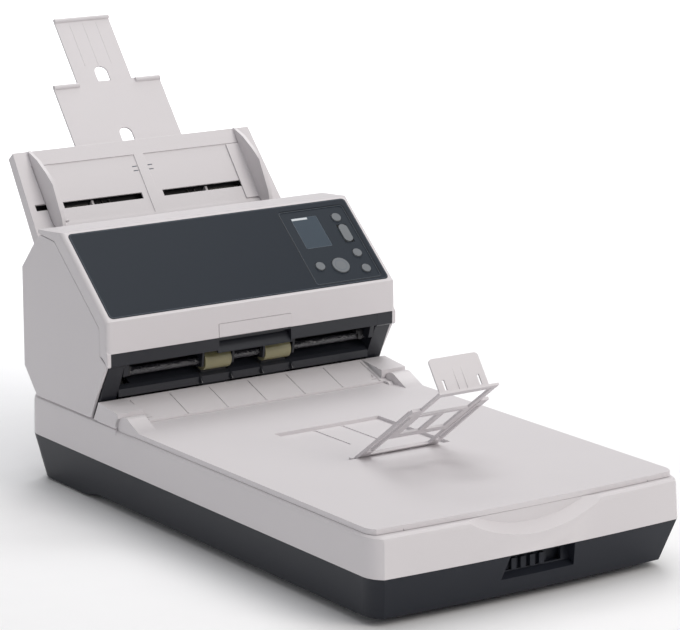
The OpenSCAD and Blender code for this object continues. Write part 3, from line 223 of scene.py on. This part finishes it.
# Warm white ABS of the shells, the lid, the chute and the stacker: 0.4 mm grain, satin.
white_abs = moulded("warm_white_moulded_abs", "#d0ccce", "#d3cfd1", 0.4, 0.02, 0.46)
# Slate coloured ABS of the lower shell: the same grain, a shade glossier.
slate_case = moulded("slate_moulded_abs", "#1e2129", "#20232b", 0.4, 0.02, 0.42, 0.25)
# Near black ABS of the exit's band and the paper guides: smooth in the paper's way.
guide_abs = moulded("dark_smooth_abs", "#202228", "#23252b", 0.5, 0.008, 0.3, 0.4)
# Slate film over the panel: a flat, satin hard coat.
panel_film = moulded("slate_panel_film", "#18202a", "#1a222c", 0.25, 0.003, 0.45, 0.22)
# The control bezel, a little bluer and darker than the film.
bezel_abs = moulded("blue_slate_bezel", "#19222c", "#1b242e", 0.3, 0.006, 0.45, 0.25)
# Black glass-filled nylon of the carriage, the scan units and the clips.
black_nylon = moulded("black_glass_filled_nylon", "#17171a", "#1b1b1e", 0.6, 0.02, 0.5)
# Grey soft-touch caps of the buttons.
button_grey = moulded("grey_soft_touch", "#6c7074", "#6f7377", 0.2, 0.004, 0.52, 0.35)
# Rubber of the feet and of the belts: matt, slightly dusty.
foot_rubber = moulded("moulded_foot_rubber", "#1d1d1e", "#262627", 0.8, 0.03, 0.78)
belt_rubber = moulded("neoprene_belt", "#161617", "#1e1e1f", 0.5, 0.05, 0.7)
# EPDM of the feed rollers, ground round their shafts, which leaves fine rings.
roller_rubber, tree, shader = new_finish("ground_epdm_rubber", "#45464a", 0.62)
place = drifting(tree, shader, "#424347", "#4a4b4f", 40.0)
rings = add_node(
    tree, "ShaderNodeTexWave", {"bands_direction": "X", "Scale": 700.0, "Distortion": 2.0},
    {"Vector": place.outputs["Object"]},
)
bump = add_node(
    tree, "ShaderNodeBump", {"Strength": 0.3, "Distance": 0.00003},
    {"Height": rings.outputs["Fac"]},
)
tree.links.new(bump.outputs["Normal"], shader.inputs["Normal"])


def brushed(name, colour, rough, stretch):
    """Ground metal: a fine grain drawn out along X or round it."""
    finish, tree, shader = new_finish(name, colour, rough, 2.0, 1.0)
    place = add_node(tree, "ShaderNodeTexCoord")
    spread = add_node(
        tree, "ShaderNodeMapping", {"vector_type": "POINT"}, {"Vector": place.outputs["Object"]},
    )
    spread.inputs["Scale"].default_value = stretch
    grain = add_node(
        tree, "ShaderNodeTexNoise", {"Scale": 900.0, "Detail": 3.0},
        {"Vector": spread.outputs["Vector"]},
    )
    wander = add_node(tree, "ShaderNodeMapRange", {"To Min": rough - 0.07, "To Max": rough + 0.1})
    tree.links.new(grain.outputs["Fac"], wander.inputs["Value"])
    tree.links.new(wander.outputs["Result"], shader.inputs["Roughness"])
    bump = add_node(
        tree, "ShaderNodeBump", {"Strength": 0.25, "Distance": 0.00002},
        {"Height": grain.outputs["Fac"]},
    )
    tree.links.new(bump.outputs["Normal"], shader.inputs["Normal"])
    return finish


# Ground and polished steel of the rod, the shafts and the pins.
ground_steel = brushed("ground_steel", "#b9babc", 0.24, (0.08, 1.0, 1.0))
# Zinc plated pan heads of the case screws.
zinc_plate = brushed("zinc_plate", "#a9abab", 0.36, (1.0, 1.0, 0.3))
# Drawn and plated cans of the motors.
motor_can = brushed("plated_motor_can", "#86888b", 0.4, (0.05, 1.0, 1.0))
# Bright nickel of the socket shells and the springs.
nickel = brushed("bright_nickel", "#c9c8c4", 0.2, (1.0, 0.4, 1.0))
# Gilt contact springs.
gilt = brushed("gilt_contact", "#d8b15a", 0.25, (1.0, 0.3, 1.0))
# Glossy black shrunk sleeve of the exit shaft, whose crinkles break up what it mirrors.
dark_shaft, tree, shader = new_finish("crinkled_black_sleeve", "#26262a", 0.14, 1.6)
place = drifting(tree, shader, "#222226", "#34343a", 160.0)
shader.inputs["Coat Weight"].default_value = 0.8
shader.inputs["Coat Roughness"].default_value = 0.06
creases = add_node(
    tree, "ShaderNodeTexNoise", {"Scale": 300.0, "Detail": 3.0, "Distortion": 1.2},
    {"Vector": place.outputs["Object"]},
)
bump = add_node(
    tree, "ShaderNodeBump", {"Strength": 1.0, "Distance": 0.0016},
    {"Height": creases.outputs["Fac"]},
)
tree.links.new(bump.outputs["Normal"], shader.inputs["Normal"])
tree.links.new(bump.outputs["Normal"], shader.inputs["Coat Normal"])

# Float glass of the platen and the scan units, faintly green.
float_glass, tree, shader = new_finish("float_glass", "#e6f1ee", 0.02, 1.52)
shader.inputs["Transmission Weight"].default_value = 1.0
place = add_node(tree, "ShaderNodeTexCoord")
smears = add_node(
    tree, "ShaderNodeTexNoise", {"Scale": 22.0, "Detail": 3.0}, {"Vector": place.outputs["Object"]},
)
wander = add_node(
    tree, "ShaderNodeMapRange", {"To Min": 0.0, "To Max": 0.05}, {"Value": smears.outputs["Fac"]},
)
tree.links.new(wander.outputs["Result"], shader.inputs["Roughness"])

# Translucent polyurethane tyres of the exit rollers, honey coloured with a waxy depth.
amber_tyre, tree, shader = new_finish("honey_polyurethane", "#86815f", 0.3, 1.5)
drifting(tree, shader, "#827d5c", "#918c6c", 60.0)
shader.inputs["Subsurface Weight"].default_value = 0.35
shader.inputs["Subsurface Radius"].default_value = (0.004, 0.003, 0.0015)
shader.inputs["Coat Weight"].default_value = 0.3

# Green solder mask over copper traces, which stand proud by a hair.
board_mask, tree, shader = new_finish("lacquered_board", "#1c5a38", 0.32)
place = add_node(tree, "ShaderNodeTexCoord")
traces = add_node(
    tree, "ShaderNodeTexBrick", {"Scale": 260.0, "Mortar Size": 0.03, "Bias": -0.2},
    {"Vector": place.outputs["Object"]},
)
traces.inputs["Color1"].default_value = linear("#1b5636")
traces.inputs["Color2"].default_value = linear("#205f3d")
traces.inputs["Mortar"].default_value = linear("#3b8457")
tree.links.new(traces.outputs["Color"], shader.inputs["Base Color"])
bump = add_node(
    tree, "ShaderNodeBump", {"Strength": 0.4, "Distance": 0.00004},
    {"Height": traces.outputs["Fac"]},
)
tree.links.new(bump.outputs["Normal"], shader.inputs["Normal"])

# White faced foam of the document pad: a matt film over open cells.
pad_foam, tree, shader = new_finish("white_faced_foam", "#efeeea", 0.85)
place = drifting(tree, shader, "#edece8", "#f3f2ef", 30.0)
cells = add_node(
    tree, "ShaderNodeTexVoronoi", {"Scale": 900.0}, {"Vector": place.outputs["Object"]},
)
bump = add_node(
    tree, "ShaderNodeBump", {"Strength": 0.2, "Distance": 0.00008},
    {"Height": cells.outputs["Distance"]},
)
tree.links.new(bump.outputs["Normal"], shader.inputs["Normal"])

# Opal acrylic of the carriage's lamp bar.
lamp_opal, tree, shader = new_finish("opal_acrylic", "#e4eef0", 0.25)
place = drifting(tree, shader, "#dfeaec", "#ecf3f4", 50.0)
shader.inputs["Transmission Weight"].default_value = 0.4
shader.inputs["Subsurface Weight"].default_value = 0.2
shader.inputs["Subsurface Radius"].default_value = (0.003, 0.003, 0.003)

# Display window: smoked glass over a dim grey-blue screen.
lcd_glass, tree, shader = new_finish("smoked_display_glass", "#34414d", 0.22, 1.5)
drifting(tree, shader, "#323f4b", "#37444f", 45.0)
shader.inputs["Coat Weight"].default_value = 0.6
shader.inputs["Coat Roughness"].default_value = 0.08
# The status line across the top of the screen, pale and even.
lcd_line, tree, shader = new_finish("pale_screen_line", "#c9ced2", 0.3)
drifting(tree, shader, "#c5cace", "#cfd4d8", 80.0)
# Black of painted shade: a flat line round the bezel stands in for the shade in the narrow gap it sits in, and
# a flat disc for the shade in a small hole.
painted_shade_black, tree, shader = new_finish("black_for_painted_shade", "#0c0f13", 0.7)
drifting(tree, shader, "#0b0e12", "#10141a", 90.0)
# Satin grey: the ink of the printed size marks, the shallow ring round the scan key, the fine lines round the
# film and the display, and a painted highlight along the bezel's lit rim.
ink_and_painted_highlight, tree, shader = new_finish("grey_outline_ink", "#59626c", 0.45)
drifting(tree, shader, "#555e68", "#5e6771", 120.0)


# ---------------------------------------------------------------------------------------------
# Working the pieces. Every piece starts from its own solid, whose edges are then rolled over as a
# mould's are, or is built up from edit-mode steps in the frame of the face that it sits on.


def settle(piece, node, finish, stands_in=True):
    """The piece takes its finish and rides with its node's body, and may stand in for the node."""
    piece.data.materials.clear()
    piece.data.materials.append(finish)
    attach(piece, frame["nodes"][node]["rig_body"])
    if stands_in:
        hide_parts(node)
    return piece


def working_copy(node):
    """A copy of a node's solid as one closed skin of whole flat faces, at the row's origin."""
    source = frame["nodes"][node]
    bpy.context.view_layer.update()
    mesh = source.data.copy()
    mesh.transform(source.matrix_world)
    piece = bpy.data.objects.new(node + "_skin", mesh)
    bpy.context.scene.collection.objects.link(piece)
    deselect()
    piece.select_set(True)
    bpy.context.view_layer.objects.active = piece
    bpy.ops.object.mode_set(mode="EDIT")
    bpy.ops.mesh.select_all(action="SELECT")
    bpy.ops.mesh.remove_doubles(threshold=0.00001)
    bpy.ops.mesh.dissolve_limited(angle_limit=math.radians(0.6))
    bpy.ops.mesh.normals_make_consistent(inside=False)
    bpy.ops.object.mode_set(mode="OBJECT")
    return piece


def roll_edges(piece, test, radius_mm, segments):
    """Rolls over the edges that pass the test, which takes their middle and direction in mm."""
    deselect()
    piece.select_set(True)
    bpy.context.view_layer.objects.active = piece
    bpy.ops.object.mode_set(mode="EDIT")
    bpy.ops.mesh.select_all(action="DESELECT")
    bpy.ops.mesh.select_mode(type="EDGE")
    work = bmesh.from_edit_mesh(piece.data)
    for edge in work.edges:
        a, b = (v.co / MM for v in edge.verts)
        sharp = len(edge.link_faces) == 2 and edge.calc_face_angle(0) > math.radians(20)
        edge.select_set(sharp and test((a + b) / 2, (b - a)))
    bmesh.update_edit_mesh(piece.data)
    bpy.ops.mesh.bevel(offset=radius_mm * MM, segments=segments, affect="EDGES")
    bpy.ops.object.mode_set(mode="OBJECT")


def soften(piece, radius_mm, segments=2, over=32):
    """Breaks every sharp edge by a small radius, then shades the skin smooth across it."""
    deselect()
    piece.select_set(True)
    bpy.context.view_layer.objects.active = piece
    if radius_mm:
        edges = piece.modifiers.new("broken_edges", "BEVEL")
        edges.width = radius_mm * MM
        edges.segments = segments
        edges.limit_method = "ANGLE"
        edges.angle_limit = math.radians(over)
        bpy.ops.object.modifier_apply(modifier=edges.name)
    bpy.ops.object.shade_smooth_by_angle(angle=math.radians(33))
    even = piece.modifiers.new("even_shading", "WEIGHTED_NORMAL")
    even.keep_sharp = True
    bpy.ops.object.modifier_apply(modifier=even.name)


def moulding(node, radius_mm, finish, segments=2, over=32):
    """A node's solid with its edges broken, in its finish."""
    piece = working_copy(node)
    soften(piece, radius_mm, segments, over)
    return settle(piece, node, finish)


def face_frame(origin, tilt):
    """Local Y climbs to the rear at the tilt, in degrees, and local Z stands out of the face."""
    return Matrix.Translation(origin) @ Matrix.Rotation(math.radians(tilt), 4, "X")


def slab(name, node, on, low, high, radius_mm, finish, segments=2):
    """A block between two corners, in mm in a face's frame, with its edges rolled over."""
    deselect()
    bpy.ops.mesh.primitive_cube_add(size=1.0)
    piece = bpy.context.object
    piece.name = name
    middle = [(a + b) / 2 * MM for a, b in zip(low, high)]
    size = [(b - a) * MM for a, b in zip(low, high)]
    bpy.ops.object.mode_set(mode="EDIT")
    bpy.ops.mesh.select_all(action="SELECT")
    bpy.ops.transform.resize(value=size)
    bpy.ops.transform.translate(value=middle)
    bpy.ops.mesh.bevel(offset=radius_mm * MM, segments=segments, affect="EDGES")
    bpy.ops.object.mode_set(mode="OBJECT")
    piece.data.transform(on)
    bpy.ops.object.shade_smooth_by_angle(angle=math.radians(33))
    return settle(piece, node, finish, stands_in=False)


def prism(name, node, on, profile, x0, x1, radius_mm, finish):
    """A profile of (y, z) in mm in a face's frame, drawn out along X from x0 to x1, edges broken."""
    mesh = bpy.data.meshes.new(name)
    mesh.from_pydata([(x0 * MM, y * MM, z * MM) for y, z in profile], [], [range(len(profile))])
    piece = bpy.data.objects.new(name, mesh)
    bpy.context.scene.collection.objects.link(piece)
    deselect()
    piece.select_set(True)
    bpy.context.view_layer.objects.active = piece
    bpy.ops.object.mode_set(mode="EDIT")
    bpy.ops.mesh.select_all(action="SELECT")
    bpy.ops.mesh.extrude_region_move(TRANSFORM_OT_translate={"value": ((x1 - x0) * MM, 0, 0)})
    bpy.ops.mesh.select_all(action="SELECT")
    bpy.ops.mesh.normals_make_consistent(inside=False)
    if radius_mm:
        bpy.ops.mesh.bevel(offset=radius_mm * MM, segments=2, affect="EDGES")
    bpy.ops.object.mode_set(mode="OBJECT")
    piece.data.transform(on)
    bpy.ops.object.shade_smooth_by_angle(angle=math.radians(33))
    return settle(piece, node, finish, stands_in=False)


def outline(name, node, on, low, high, corner, width, lift, finish):
    """A fine line round a rectangle with rounded corners, in mm, lying on a face."""
    loops = []
    for inset in (0.0, width):
        r = max(corner - inset, 0.05)
        for cx, cy, start in (
            (high[0] - corner, high[1] - corner, 0), (low[0] + corner, high[1] - corner, 90),
            (low[0] + corner, low[1] + corner, 180), (high[0] - corner, low[1] + corner, 270),
        ):
            for step in range(7):
                a = math.radians(start + step * 15)
                loops.append(((cx + r * math.cos(a)) * MM, (cy + r * math.sin(a)) * MM, lift * MM))
    count = len(loops) // 2
    mesh = bpy.data.meshes.new(name)
    mesh.from_pydata(loops, [], [
        (i, (i + 1) % count, count + (i + 1) % count, count + i) for i in range(count)
    ])
    piece = bpy.data.objects.new(name, mesh)
    bpy.context.scene.collection.objects.link(piece)
    deselect()
    piece.select_set(True)
    bpy.context.view_layer.objects.active = piece
    body = piece.modifiers.new("line_body", "SOLIDIFY")
    body.thickness = 0.04 * MM
    body.offset = 0.0
    bpy.ops.object.modifier_apply(modifier=body.name)
    bpy.ops.object.mode_set(mode="EDIT")
    bpy.ops.mesh.select_all(action="SELECT")
    bpy.ops.mesh.normals_make_consistent(inside=False)
    bpy.ops.object.mode_set(mode="OBJECT")
    piece.data.transform(on)
    return settle(piece, node, finish, stands_in=False)


def turned(name, node, on, profile, finish, axis=(0, 0, 1), steps=40):
    """A turned piece: a profile of (radius, height) in mm, spun round the face frame's own Z."""
    mesh = bpy.data.meshes.new(name)
    spots = [(r * MM, 0.0, h * MM) for r, h in profile]
    mesh.from_pydata(spots, [(i, i + 1) for i in range(len(spots) - 1)], [])
    piece = bpy.data.objects.new(name, mesh)
    bpy.context.scene.collection.objects.link(piece)
    deselect()
    piece.select_set(True)
    bpy.context.view_layer.objects.active = piece
    bpy.ops.object.mode_set(mode="EDIT")
    bpy.ops.mesh.select_all(action="SELECT")
    bpy.ops.mesh.spin(steps=steps, angle=math.tau, center=(0, 0, 0), axis=axis)
    bpy.ops.mesh.select_all(action="SELECT")
    bpy.ops.mesh.remove_doubles(threshold=0.000005)
    bpy.ops.mesh.normals_make_consistent(inside=False)
    bpy.ops.object.mode_set(mode="OBJECT")
    piece.data.transform(on)
    bpy.ops.object.shade_smooth_by_angle(angle=math.radians(33))
    return settle(piece, node, finish, stands_in=False)


# ---------------------------------------------------------------------------------------------
# Base shells. Two deep ABS mouldings meet at a shadow line all round: the slate one carries the
# works on its floor, and the white one, screwed down from below, carries the glass and the lid.

moulding("base_upper_case", 0.9, white_abs, 4)
moulding("base_lower_case", 0.5, slate_case, 3)
moulding("rubber_feet", 0.8, foot_rubber, 3)
moulding("case_screws", 0.15, zinc_plate)
moulding("lock_switch", 0.35, slate_case)

# ---------------------------------------------------------------------------------------------
# Flatbed works. A glass-filled nylon carriage with a lamp bar runs on a ground rod under the float
# glass, drawn by a flat toothed belt from a stepper at the rear.

moulding("platen_glass", 0.3, float_glass)
moulding("guide_rod", 0.4, ground_steel)
moulding("carriage", 0.5, black_nylon)
moulding("lamp_bar", 0.3, lamp_opal)
moulding("carriage_belt", 0.1, belt_rubber)
moulding("carriage_pulley", 0.15, nickel)
moulding("drive_motors", 0.4, motor_can)
moulding("main_board", 0.1, board_mask)
moulding("rear_sockets", 0.2, black_nylon)
# Plated shells line the data sockets, and gilt springs lie in the network one.
rear_face = Matrix.Translation((0.0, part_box("rear_sockets")[1][1], 0.0))
for name, low, high in (
    ("data_shell_floor", (-83.6, -9.0, 24.1), (-76.4, -0.6, 24.35)),
    ("data_shell_roof", (-83.6, -9.0, 30.65), (-76.4, -0.6, 30.9)),
    ("data_tongue", (-82.0, -9.0, 26.2), (-78.0, -2.0, 28.8)),
):
    slab(name, "rear_sockets", rear_face, low, high, 0.08, nickel, 1)
for step in range(8):
    x = -59.5 + step * 1.0
    slab(
        "network_contact", "rear_sockets", rear_face, (x - 0.22, -11.5, 29.2),
        (x + 0.22, -3.0, 29.6), 0.06, gilt, 1,
    )

# ---------------------------------------------------------------------------------------------
# Document lid. A thin white tray moulded with a rolled rim, closed below by an inner plate that a
# foam pad with a white film is stuck to. Steel pins through its knuckles join it to the ramp.

moulding("lid_shell", 0.7, white_abs, 3)
moulding("lid_inner_plate", 0.4, white_abs)
moulding("document_pad", 0.8, pad_foam, 3)
moulding("lid_hinge_pins", 0.3, ground_steel)

# ---------------------------------------------------------------------------------------------
# Stacker. Three thin white mouldings: an arm hinged in the lid's recess, a frame that slides in
# its rails, and a small paper stop that snaps onto a pin near the frame's end.

moulding("stacker_arm", 0.25, white_abs)
moulding("stacker_extension", 0.25, white_abs)
arm_hinge = next(joint for joint in frame["joints"] if joint["name"] == "stacker_arm_hinge")
arm_face = face_frame(Vector(arm_hinge["pos_m"]), -34.7)
stop = working_copy("stacker_paddle")


def at_stop_corner(middle, along):
    """Whether an edge crosses the stop's thickness at one of its two upper corners."""
    local = arm_face.inverted() @ (middle * MM) / MM
    return abs(along.x) < 0.1 and abs(local.x) > 22 and local.z > 31 and along.length < 4


roll_edges(stop, at_stop_corner, 3.5, 5)
soften(stop, 0.25)
settle(stop, "stacker_paddle", white_abs)
# Two ribs taper up the stop's face, and a bead runs along each rail of the arm.
for x in (-4.0, 4.0):
    prism(
        "stop_rib", "stacker_paddle", arm_face, [(-125.8, 2.0), (-126.5, 2.4), (-125.8, 22.0)],
        x - 0.8, x + 0.8, 0.12, white_abs,
    )
for side in (-1, 1):
    a, b = sorted((side * 37.2, side * 38.6))
    slab("rail_bead", "stacker_arm", arm_face, (a, -97.0, 1.0), (b, -6.0, 1.6), 0.15, white_abs)

# ---------------------------------------------------------------------------------------------
# Feeder stand. The white ramp, the two side covers and the rear cover close in a pair of dark
# side frames that carry the rollers, the scan unit and the lower paper guide.

moulding("eject_ramp", 0, white_abs)
moulding("left_side_cover", 0.8, white_abs, 3)
moulding("right_side_cover", 0.8, white_abs, 3)
moulding("rear_cover", 0.5, white_abs)
moulding("side_frames", 0.3, guide_abs)
moulding("lower_paper_guide", 0.25, guide_abs)
# Four ribs stand on the lip below the exit and lead the sheets off it.
lip_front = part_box("cover_shell")[0][1]
ramp_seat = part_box("left_side_cover")[0][2] - 0.5 * MM
feeder_foot = Matrix.Translation((0.0, lip_front, ramp_seat))
for x in (-47.0, -16.0, 16.0, 47.0):
    prism(
        "exit_rib", "lower_paper_guide", feeder_foot,
        [(18.0, 19.7), (13.6, 21.4), (16.4, 25.0), (20.8, 29.5), (21.6, 28.6)],
        x - 0.9, x + 0.9, 0.2, guide_abs,
    )
moulding("lower_scan_unit", 0.4, black_nylon)
moulding("lower_scan_glass", 0.1, float_glass)
moulding("timing_belt", 0.1, belt_rubber)
moulding("motor_pulley", 0.15, nickel)
moulding("feed_rollers", 0.3, roller_rubber)
moulding("eject_rollers", 0.3, roller_rubber)
moulding("pick_roller", 0.3, roller_rubber)

# ---------------------------------------------------------------------------------------------
# Feeder cover. A white shell with well rounded ends hinges up over the rollers. It holds the dark
# band over the exit, the upper paper guide with its scan unit, and the pinch rollers.

SLOPE_TILT = 40.36
panel_low, panel_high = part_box("dark_panel")
climb, out = math.cos(math.radians(SLOPE_TILT)), math.sin(math.radians(SLOPE_TILT))
slope = face_frame(
    (0.0, panel_low[1] - (3 * climb - 0.4 * out) * MM, panel_low[2] - (3 * out - 1.4 * climb) * MM), SLOPE_TILT
)
cover_low, cover_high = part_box("cover_shell")
cover = working_copy("cover_shell")


def on_cover_rim(middle, along):
    """Whether an edge runs up the shell's side where its lip, slope and top meet the cheek."""
    if abs(abs(middle.x) - cover_high[0] / MM) > 0.05 or abs(along.x) > 0.1:
        return False
    local = slope.inverted() @ (middle * MM) / MM
    return abs(middle.y - cover_low[1] / MM) < 0.1 or abs(local.z) < 0.1


roll_edges(cover, on_cover_rim, 4.2, 5)
soften(cover, 0.6, 3)
settle(cover, "cover_shell", white_abs)
moulding("cover_front_band", 0.35, guide_abs)
moulding("upper_paper_guide", 0.3, guide_abs)
moulding("upper_scan_unit", 0.4, black_nylon)
moulding("upper_scan_glass", 0.1, float_glass)
moulding("brake_roller", 0.3, roller_rubber)
moulding("feed_pinch_rollers", 0.3, black_nylon)
moulding("latch_bar", 0.3, ground_steel)
moulding("release_tab", 0.5, white_abs, 3)

# Two nylon clips snap the exit shaft into the guide at its ends, each backed by a bright leaf spring.
shaft_low, shaft_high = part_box("exit_pinch_rollers")
shaft_line = Matrix.Translation((0.0, (shaft_low[1] + shaft_high[1]) / 2, (shaft_low[2] + shaft_high[2]) / 2))
for side in (-1, 1):
    for name, x0, x1, low, high, finish in (
        ("shaft_clip", 117.0, 124.0, (-4.6, 2.2), (3.2, 5.6), black_nylon),
        ("shaft_clip_jaw", 118.5, 122.5, (-5.4, -2.4), (-4.0, 5.0), black_nylon),
        ("shaft_leaf_spring", 125.0, 127.6, (-5.2, 0.6), (-4.9, 5.4), nickel),
        ("roller_clip", 14.4, 16.6, (-5.6, -3.6), (-4.2, 5.4), black_nylon),
    ):
        a, b = sorted((side * x0, side * x1))
        slab(
            name, "upper_paper_guide", shaft_line, (a, low[0], low[1]), (b, high[0], high[1]),
            0.12, finish,
        )

exit_rollers = working_copy("exit_pinch_rollers")
soften(exit_rollers, 0.5, 3)
settle(exit_rollers, "exit_pinch_rollers", amber_tyre)
exit_rollers.data.materials.append(dark_shaft)
axis_low, axis_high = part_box("exit_pinch_rollers")
axis_y, axis_z = (axis_low[1] + axis_high[1]) / 2, (axis_low[2] + axis_high[2]) / 2
for face in exit_rollers.data.polygons:
    reach = max(math.hypot(exit_rollers.data.vertices[v].co.y - axis_y,
                           exit_rollers.data.vertices[v].co.z - axis_z) for v in face.vertices)
    if reach < 0.0045:
        face.material_index = 1

# ---------------------------------------------------------------------------------------------
# Control panel. A slate film lies flush in the white slope, with a darker bezel for the display
# and six soft-touch keys at its right. The keys are moulded caps on a switch board underneath.

moulding("dark_panel", 0.3, panel_film)
moulding("control_bezel", 0.25, bezel_abs)
moulding("lcd_window", 0.2, lcd_glass)
moulding("panel_board", 0.1, board_mask)
for node in (
    "menu_button", "manual_button", "power_button", "scan_button", "stop_button", "scroll_rocker",
):
    moulding(node, 0.55, button_grey, 4)

# Fine lines: a grey line round the film's edge, a black line of painted shade in the groove that the bezel
# sits in, a grey line of painted highlight for the lit rim of the bezel inside it, and a grey line round the
# display's own rim.
half = panel_high[0] / MM
bezel_low, bezel_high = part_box("control_bezel")
bezel_x0, bezel_x1 = bezel_low[0] / MM, bezel_high[0] / MM
outline(
    "film_border", "dark_panel", slope, (-half + 0.9, 3.9), (half - 0.9, 99.1), 3.4, 0.28, 0.4,
    ink_and_painted_highlight,
)
# A black line of painted shade round the bezel, where its groove falls dark.
outline(
    "painted_bezel_groove_shade", "control_bezel", slope, (bezel_x0 + 0.2, 6.2), (bezel_x1 - 0.2, 93.2), 3.0,
    0.7, 0.11, painted_shade_black,
)
# A flat black disc of painted shade stands for a small register hole in the film.
turned(
    "register_hole_painted_shade", "dark_panel",
    slope @ Matrix.Translation(((bezel_x0 - 1.2) * MM, 92.7 * MM, 0.0)),
    [(0.0, 0.43), (0.45, 0.43), (0.6, 0.4)], painted_shade_black, steps=20,
)
# A grey line of painted highlight along the bezel's lit rim.
outline(
    "painted_bezel_rim_highlight", "control_bezel", slope, (bezel_x0 + 1.0, 7.0), (bezel_x1 - 1.0, 92.4), 2.4,
    0.22, 0.12, ink_and_painted_highlight,
)
lcd_low, lcd_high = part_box("lcd_window")
lcd_x = (lcd_low[0] + lcd_high[0]) / 2 / MM
outline(
    "display_rim", "lcd_window", slope, (lcd_low[0] / MM + 0.2, 48.7), (lcd_high[0] / MM - 0.2, 84.8),
    0.6, 0.3, -0.48, ink_and_painted_highlight,
)
slab(
    "screen_status_line", "lcd_window", slope,
    (lcd_x - 13.2, 82.0, -0.52), (lcd_x + 3.2, 84.3, -0.46), 0.02, lcd_line, 1,
)
# A shallow ring round the scan key's cap, where the key is pressed by a thumb.
scan_low, scan_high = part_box("scan_button")
scan_middle = Matrix.Translation(((scan_low[0] + scan_high[0]) / 2, 24.9 * MM, 0.0))
turned(
    "scan_key_ring", "scan_button", slope @ scan_middle,
    [(5.4, 0.86), (5.4, 0.92), (5.65, 0.95), (5.9, 0.92), (5.9, 0.86)], ink_and_painted_highlight,
)

# ---------------------------------------------------------------------------------------------
# Paper chute. A shallow white tray hooks onto the rear cover and leans back; two guides slide in
# a slot across it on racks round one pinion, and two plates draw out of its upper edge.

CHUTE_TILT = 51.5
pinion_low, pinion_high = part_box("guide_pinion")
chute_face = (
    Matrix.Translation((Vector(pinion_low) + Vector(pinion_high)) / 2)
    @ Matrix.Rotation(math.radians(CHUTE_TILT), 4, "X")
    @ Matrix.Translation((0.0, -15.2 * MM, 4.4 * MM))
)
moulding("chute", 0.35, white_abs)
# A black plate closes the tray's back, under the slides; its black is painted shade, which shows dark through
# the slots.
slab(
    "painted_slot_shade_plate", "chute", chute_face, (-120.5, -22.0, -11.28), (120.5, 69.5, -10.98), 0.1,
    black_nylon, 1,
)
moulding("left_guide", 0.4, white_abs)
moulding("right_guide", 0.4, white_abs)
moulding("guide_pinion", 0.15, nickel)
moulding("chute_extension_1", 0.3, white_abs)
moulding("chute_extension_2", 0.3, white_abs)
# Plated strips and moulded stops lie under the slots, three low beads run up the upper plate, and
# the paper size marks either side of the middle rib are inked.
for side in (-1, 1):
    for name, x0, x1, s0, s1, high, finish in (
        ("slide_strip", 64.0, 96.0, 12.4, 18.0, -9.6, nickel),
        ("slide_stop", 59.2, 61.4, 11.0, 19.4, -6.6, white_abs),
        ("slide_stop", 48.0, 49.6, 11.0, 19.4, -9.0, nickel),
        ("slide_stop", 41.0, 42.6, 11.0, 19.4, -9.0, nickel),
        ("size_mark", 5.6, 10.4, 41.05, 41.95, -1.35, ink_and_painted_highlight),
        ("size_mark", 5.6, 10.4, 45.55, 46.45, -1.35, ink_and_painted_highlight),
    ):
        a, b = sorted((side * x0, side * x1))
        low = -10.98 if high < -5 else -1.55
        slab(name, "chute", chute_face, (a, s0, low), (b, s1, high), 0.06, finish, 1)
for x in (-14.0, 0.0, 14.0):
    slab(
        "lengthwise_bead", "chute_extension_2", chute_face, (x - 0.5, 162.0, -8.94),
        (x + 0.5, 208.0, -8.72), 0.08, white_abs, 1,
    )
